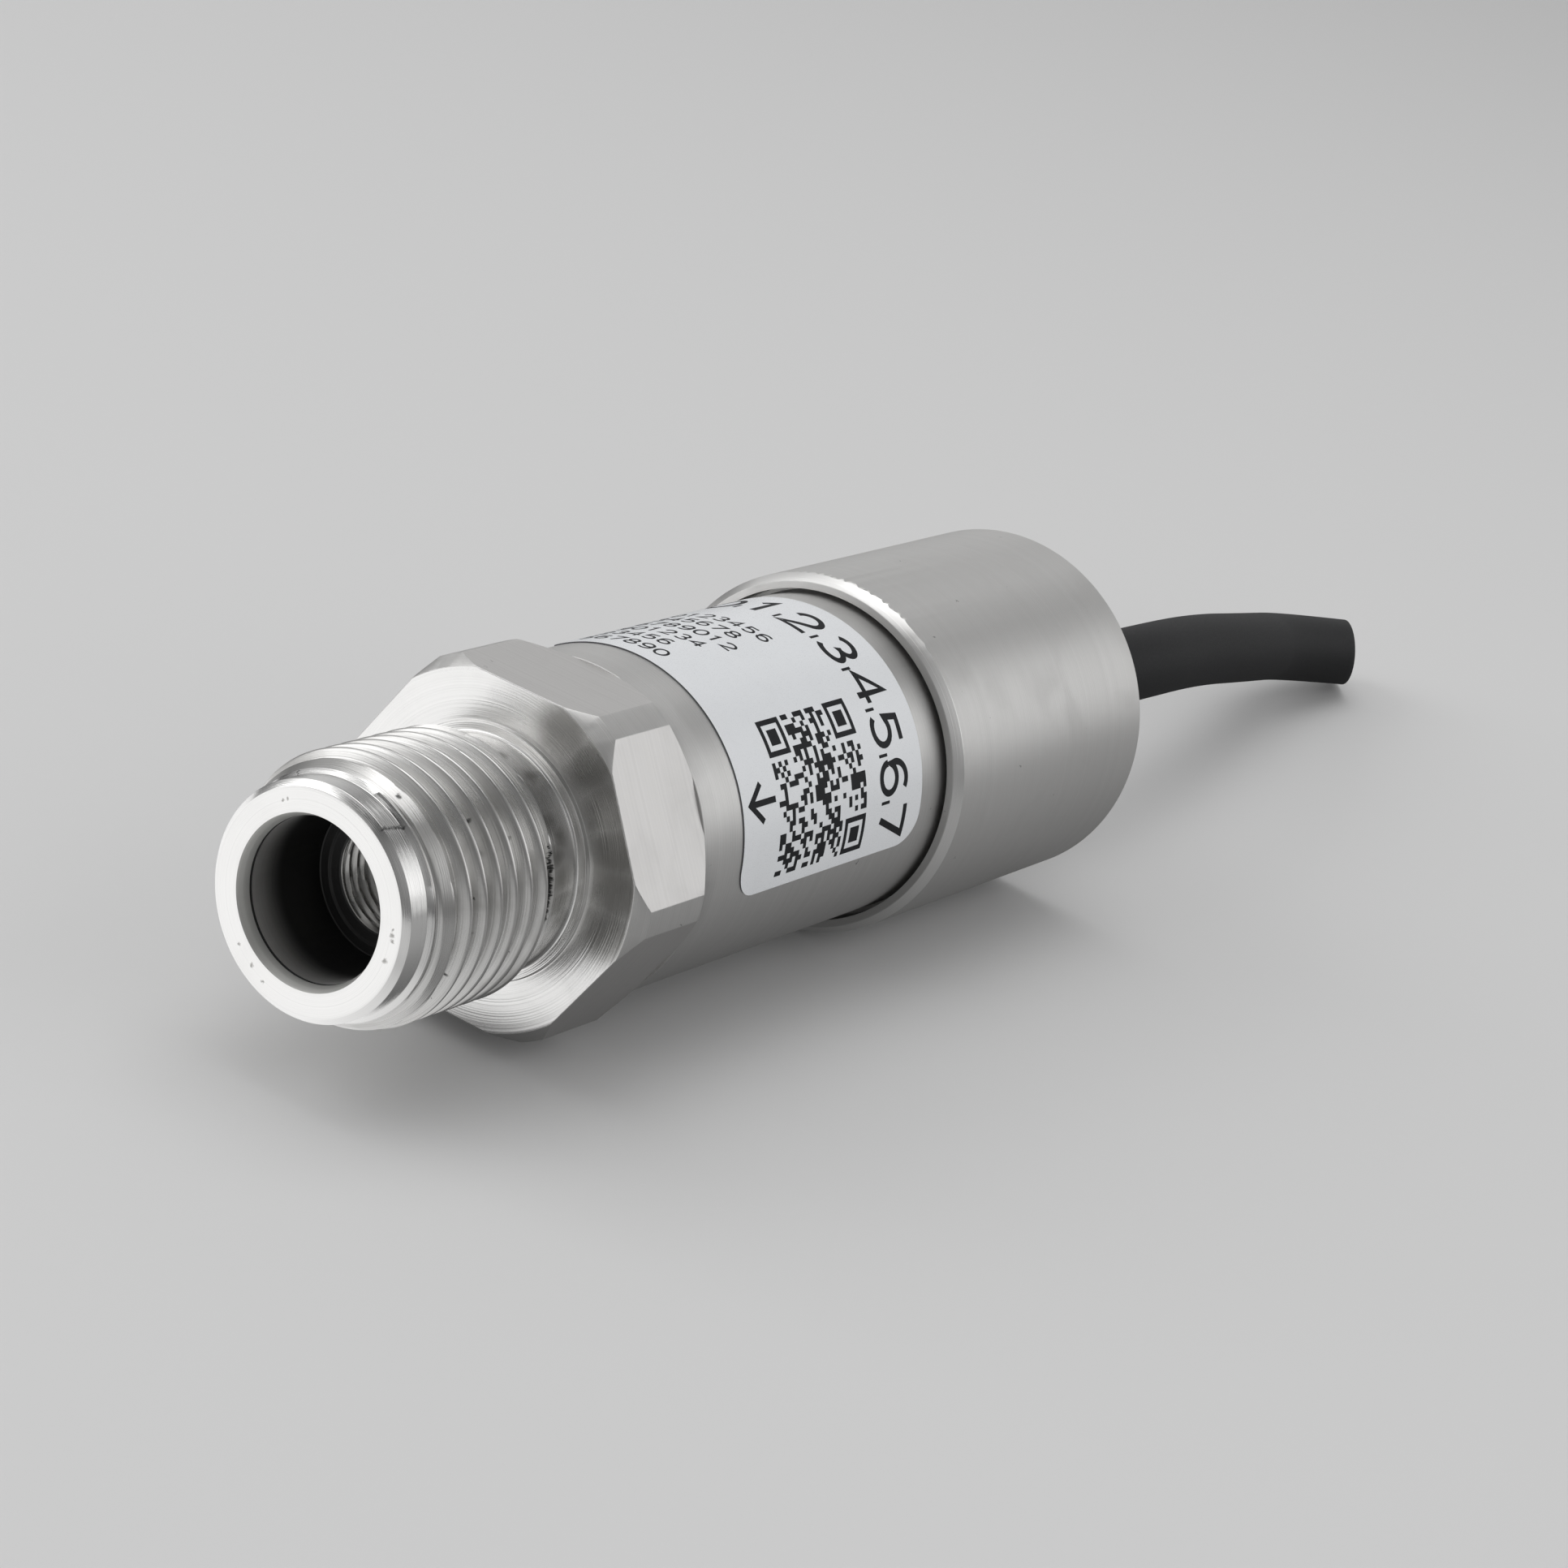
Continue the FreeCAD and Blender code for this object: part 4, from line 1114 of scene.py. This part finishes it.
def build_cable_core(end, along, side, name, slot, sheath, middle, angle, size):
    """Cut face of one core, just proud of the cable's cut, with strands in it, or painted shade for
    a hole.
    """
    up = along.cross(side)
    centre = (side * cos(radians(angle)) + up * sin(radians(angle))) * CORE_OFFSET * MM
    proud, sunk, around = 0.06, 0.02, 24
    profile = ((size, 0.0), (size, proud), (size / 2, proud), (size / 2, sunk), (0, sunk))
    points = []
    for reach, rise in profile:
        for k in range(around):
            turn = 2 * pi * k / around
            radial = centre + (side * cos(turn) + up * sin(turn)) * reach * MM
            points.append(trimmed(end, along, radial) + TRIM * rise * MM)
    slots = [0] * 2 * around + [1] * 2 * around
    mesh = new_mesh(name, points, sleeve_faces(len(profile), around), (sheath, middle), slots)
    piece = finished(name, mesh, weighted=False)
    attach(piece, "root")
    return piece


# ------------------------------------------------------------------ carried-over pieces
def dress(material, *names):
    for name in names:
        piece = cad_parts[name]
        piece.data.materials.clear()
        piece.data.materials.append(material)


def dress_inner_pieces():
    dress(turned_steel("capsule_steel", (0.68, 0.68, 0.67), grey(0.5), 0.3, marks=8.0),
          "weld_ring", "sensor_capsule", "clamp_ring")
    dress(turned_steel("diaphragm_steel", (0.78, 0.78, 0.77), (0.62, 0.62, 0.61), 0.18, marks=3.0),
          "isolating_diaphragm")
    dress(turned_steel("nickel_brass", (0.70, 0.67, 0.60), (0.5, 0.47, 0.42), 0.3, marks=8.0),
          "gland_washer", "gland_screw")
    dress(grained("seal_glass", (0.05, 0.10, 0.08), 0.12, grain=2.0), "glass_seals", "die_pedestal")
    dress(grained("gold_plate", (0.85, 0.66, 0.28), 0.25, metallic=1.0),
          "header_pins", "board_links")
    dress(grained("white_ceramic", (0.86, 0.85, 0.81), 0.55, grain=16.0), "filler_disc")
    dress(grained("silicon", (0.20, 0.21, 0.27), 0.12, grain=1.0, metallic=0.6), "sensing_die")
    dress(grained("black_rubber", (0.02, 0.02, 0.021), 0.55, grain=12.0, relief=0.02),
          "capsule_seal", "cap_seal", "gland_bush")
    dress(grained("natural_nylon", (0.80, 0.77, 0.69), 0.45, grain=8.0),
          "board_spacer", "insulating_sleeve", "cable_tie")
    dress(grained("board_laminate", (0.02, 0.16, 0.06), 0.3, grain=5.0),
          "sensor_board", "main_board")
    dress(grained("black_epoxy", (0.02, 0.02, 0.022), 0.5, grain=18.0, relief=0.02),
          "signal_chip", "loop_regulator", "loop_transistor", "protection_diodes")
    dress(grained("tantalum_yellow", (0.72, 0.50, 0.09), 0.4), "tantalum_capacitors")
    dress(grained("tan_ceramic", (0.46, 0.34, 0.21), 0.5, grain=12.0), "ceramic_capacitors")
    dress(grained("resistor_black", (0.03, 0.03, 0.035), 0.25), "resistors")
    dress(grained("terminal_green", (0.04, 0.28, 0.10), 0.4), "terminal_block")
    dress(grained("brown_insulation", BROWN, 0.45), "supply_core")
    dress(grained("blue_insulation", BLUE, 0.45), "signal_core")
    dress(grained("tinned_copper", grey(0.72), 0.3, metallic=1.0, grain=12.0), "screen_wire")
    dress(grained("vent_plastic", grey(0.85), 0.4), "vent_tube")


# ------------------------------------------------------------------ floor, light and camera
FLOOR_SIZE = 6.0
FLOOR_GREY, FLOOR_GREY_IN_PAINTED_REFLECTION = grey(0.78), grey(0.12)
# How bright the floor glows as a painted reflection that only metal sees: ahead of the nose,
# painted shade under the housing, and out to its right.
FLOOR_PAINTED_GLOW_AHEAD, FLOOR_PAINTED_SHADE_UNDER, FLOOR_PAINTED_GLOW_RIGHT = 0.83, 0.06, 0.2


def build_floor():
    """Pale floor for the shadow. Metal sees a painted reflection on it: the floor glows for glossy
    rays only, white ahead of the nose and darker behind, and shows them a darker grey than its own.
    """
    half = FLOOR_SIZE / 2
    corners = [(-half, -half, 0), (half, -half, 0), (half, half, 0), (-half, half, 0)]
    material, tree, shader = new_material("pale_floor", FLOOR_GREY, 0.7)
    floor = linked("floor", new_mesh("floor", corners, [(0, 1, 2, 3)], (material,)))
    floor.location.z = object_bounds()[0].z - 0.02 * MM
    glossy = tree.node("ShaderNodeLightPath").outputs["Is Glossy Ray"]
    # Painted reflection: glossy rays see the floor in a darker grey than its own.
    tree.feed(shader.inputs["Base Color"], tree.mix(glossy, FLOOR_GREY, FLOOR_GREY_IN_PAINTED_REFLECTION))
    station, side = tree.parts(tree.place())[:2]
    slanted = tree.math("SUBTRACT", station, tree.math("MULTIPLY", side, 0.5))
    ahead = tree.span(slanted, 12.0, 16.0, FLOOR_PAINTED_GLOW_AHEAD, 0.0, smooth=True)
    ahead = tree.math("MULTIPLY", ahead, tree.span(side, -26.0, 2.0, 0.3, 1.0))
    right = tree.span(side, -5.0, -40.0, FLOOR_PAINTED_SHADE_UNDER, FLOOR_PAINTED_GLOW_RIGHT)
    # Painted reflection: emission that only glossy rays see, set by where the floor lies round the
    # housing.
    tree.feed(shader.inputs["Emission Color"], tree.mix(glossy, grey(0.0), grey(1.0)))
    tree.feed(shader.inputs["Emission Strength"], tree.math("ADD", ahead, right))


# White cards that metal sees round the housing: direction, how closely a reflection has to point
# there for the tone to start and to be full, and the tone. Where cards overlap they add up.
STUDIO_CARDS = (
    ((0.82, -0.45, 0.33), 0.955, 0.995, 0.12),
    ((0.82, -0.54, 0.20), 0.86, 0.985, 0.80),
    ((0.82, 0.50, 0.02), 0.80, 0.99, 0.25),
    ((0.82, 0.50, 0.30), 0.78, 0.98, 0.36),
    ((0.86, -0.05, 0.52), 0.90, 0.995, 0.45),
    ((-0.50, 0.84, 0.30), 0.60, 0.97, 0.49),
    ((-0.82, -0.46, 0.34), 0.60, 0.97, 0.19),
    ((0.04, -0.80, 0.60), 0.72, 0.97, 0.35),
    ((0.10, 0.456, 0.88), 0.905, 0.965, 0.75),
    ((0.30, 0.78, 0.50), 0.90, 0.98, 0.30),
)
STUDIO_GREY, BACKDROP_GREY = grey(0.43), grey(0.8)


def build_world():
    """Even pale studio. Metal sees it as soft white cards with dark gaps between them."""
    world = bpy.data.worlds.new("studio")
    bpy.context.scene.world = world
    world.use_nodes = True
    tree = Tree(world.node_tree)
    rays = tree.node("ShaderNodeLightPath").outputs
    direction = tree.node("ShaderNodeTexCoord").outputs["Generated"]
    cards = 0.0
    for towards, start, full, tone in STUDIO_CARDS:
        met = tree.vector("DOT_PRODUCT", direction, Vector(towards).normalized(), out="Value")
        cards = tree.math("ADD", cards, tree.span(met, start, full, 0.0, tone, smooth=True))
    plain = tree.math("MAXIMUM", rays["Is Camera Ray"], rays["Is Transmission Ray"])
    shown = tree.mix(plain, STUDIO_GREY, BACKDROP_GREY)
    shown = tree.mix(rays["Is Glossy Ray"], shown, cards)
    background = tree.node("ShaderNodeBackground", {"Color": shown, "Strength": 1.0})
    output = tree.node("ShaderNodeOutputWorld")
    tree.tree.links.new(background.outputs[0], output.inputs[0])


LAMP_DISTANCE = 0.9
# Soft boxes: direction from the middle of the housing, side in metres, power in watts.
SOFT_BOXES = {
    "left_box": ((-0.5, 0.85, 0.55), 0.6, 1.4),
    "front_box": ((-0.9, 0.35, 0.75), 0.6, 0.3),
    "top_box": ((0.1, 0.1, 1.0), 0.7, 2.0),
    "right_box": ((0.35, -0.9, 0.6), 0.6, 0.8),
}


def hang_soft_boxes():
    for name, (towards, side, watts) in SOFT_BOXES.items():
        lamp = bpy.data.lights.new(name, "AREA")
        lamp.shape = "SQUARE"
        lamp.size = side
        lamp.energy = watts
        holder = linked(name, lamp)
        away = Vector(towards).normalized()
        holder.location = Vector((0.0, AXIS_Y, AXIS_Z)) + away * LAMP_DISTANCE
        holder.rotation_mode = "QUATERNION"
        holder.rotation_quaternion = away.to_track_quat("Z", "Y")


def set_camera():
    camera = bpy.data.cameras.new("camera")
    camera.lens = 99.16
    camera.sensor_width = 36.0
    camera.clip_start = 0.01
    holder = linked("camera", camera)
    right = Vector((0.54418, -0.80537, 0.23504))
    up = Vector((0.16759, 0.37886, 0.91015))
    back = Vector((-0.82206, -0.45589, 0.34114))
    turn = Matrix((right, up, back)).transposed().to_4x4()
    holder.matrix_world = Matrix.Translation((-0.281627, -0.164645, 0.136178)) @ turn
    bpy.context.scene.camera = holder


bpy.context.scene.view_settings.view_transform = "Standard"
build_process_connection()
build_rear_cap()
build_label()
build_print()
build_cable()
dress_inner_pieces()
build_floor()
build_world()
hang_soft_boxes()
set_camera()
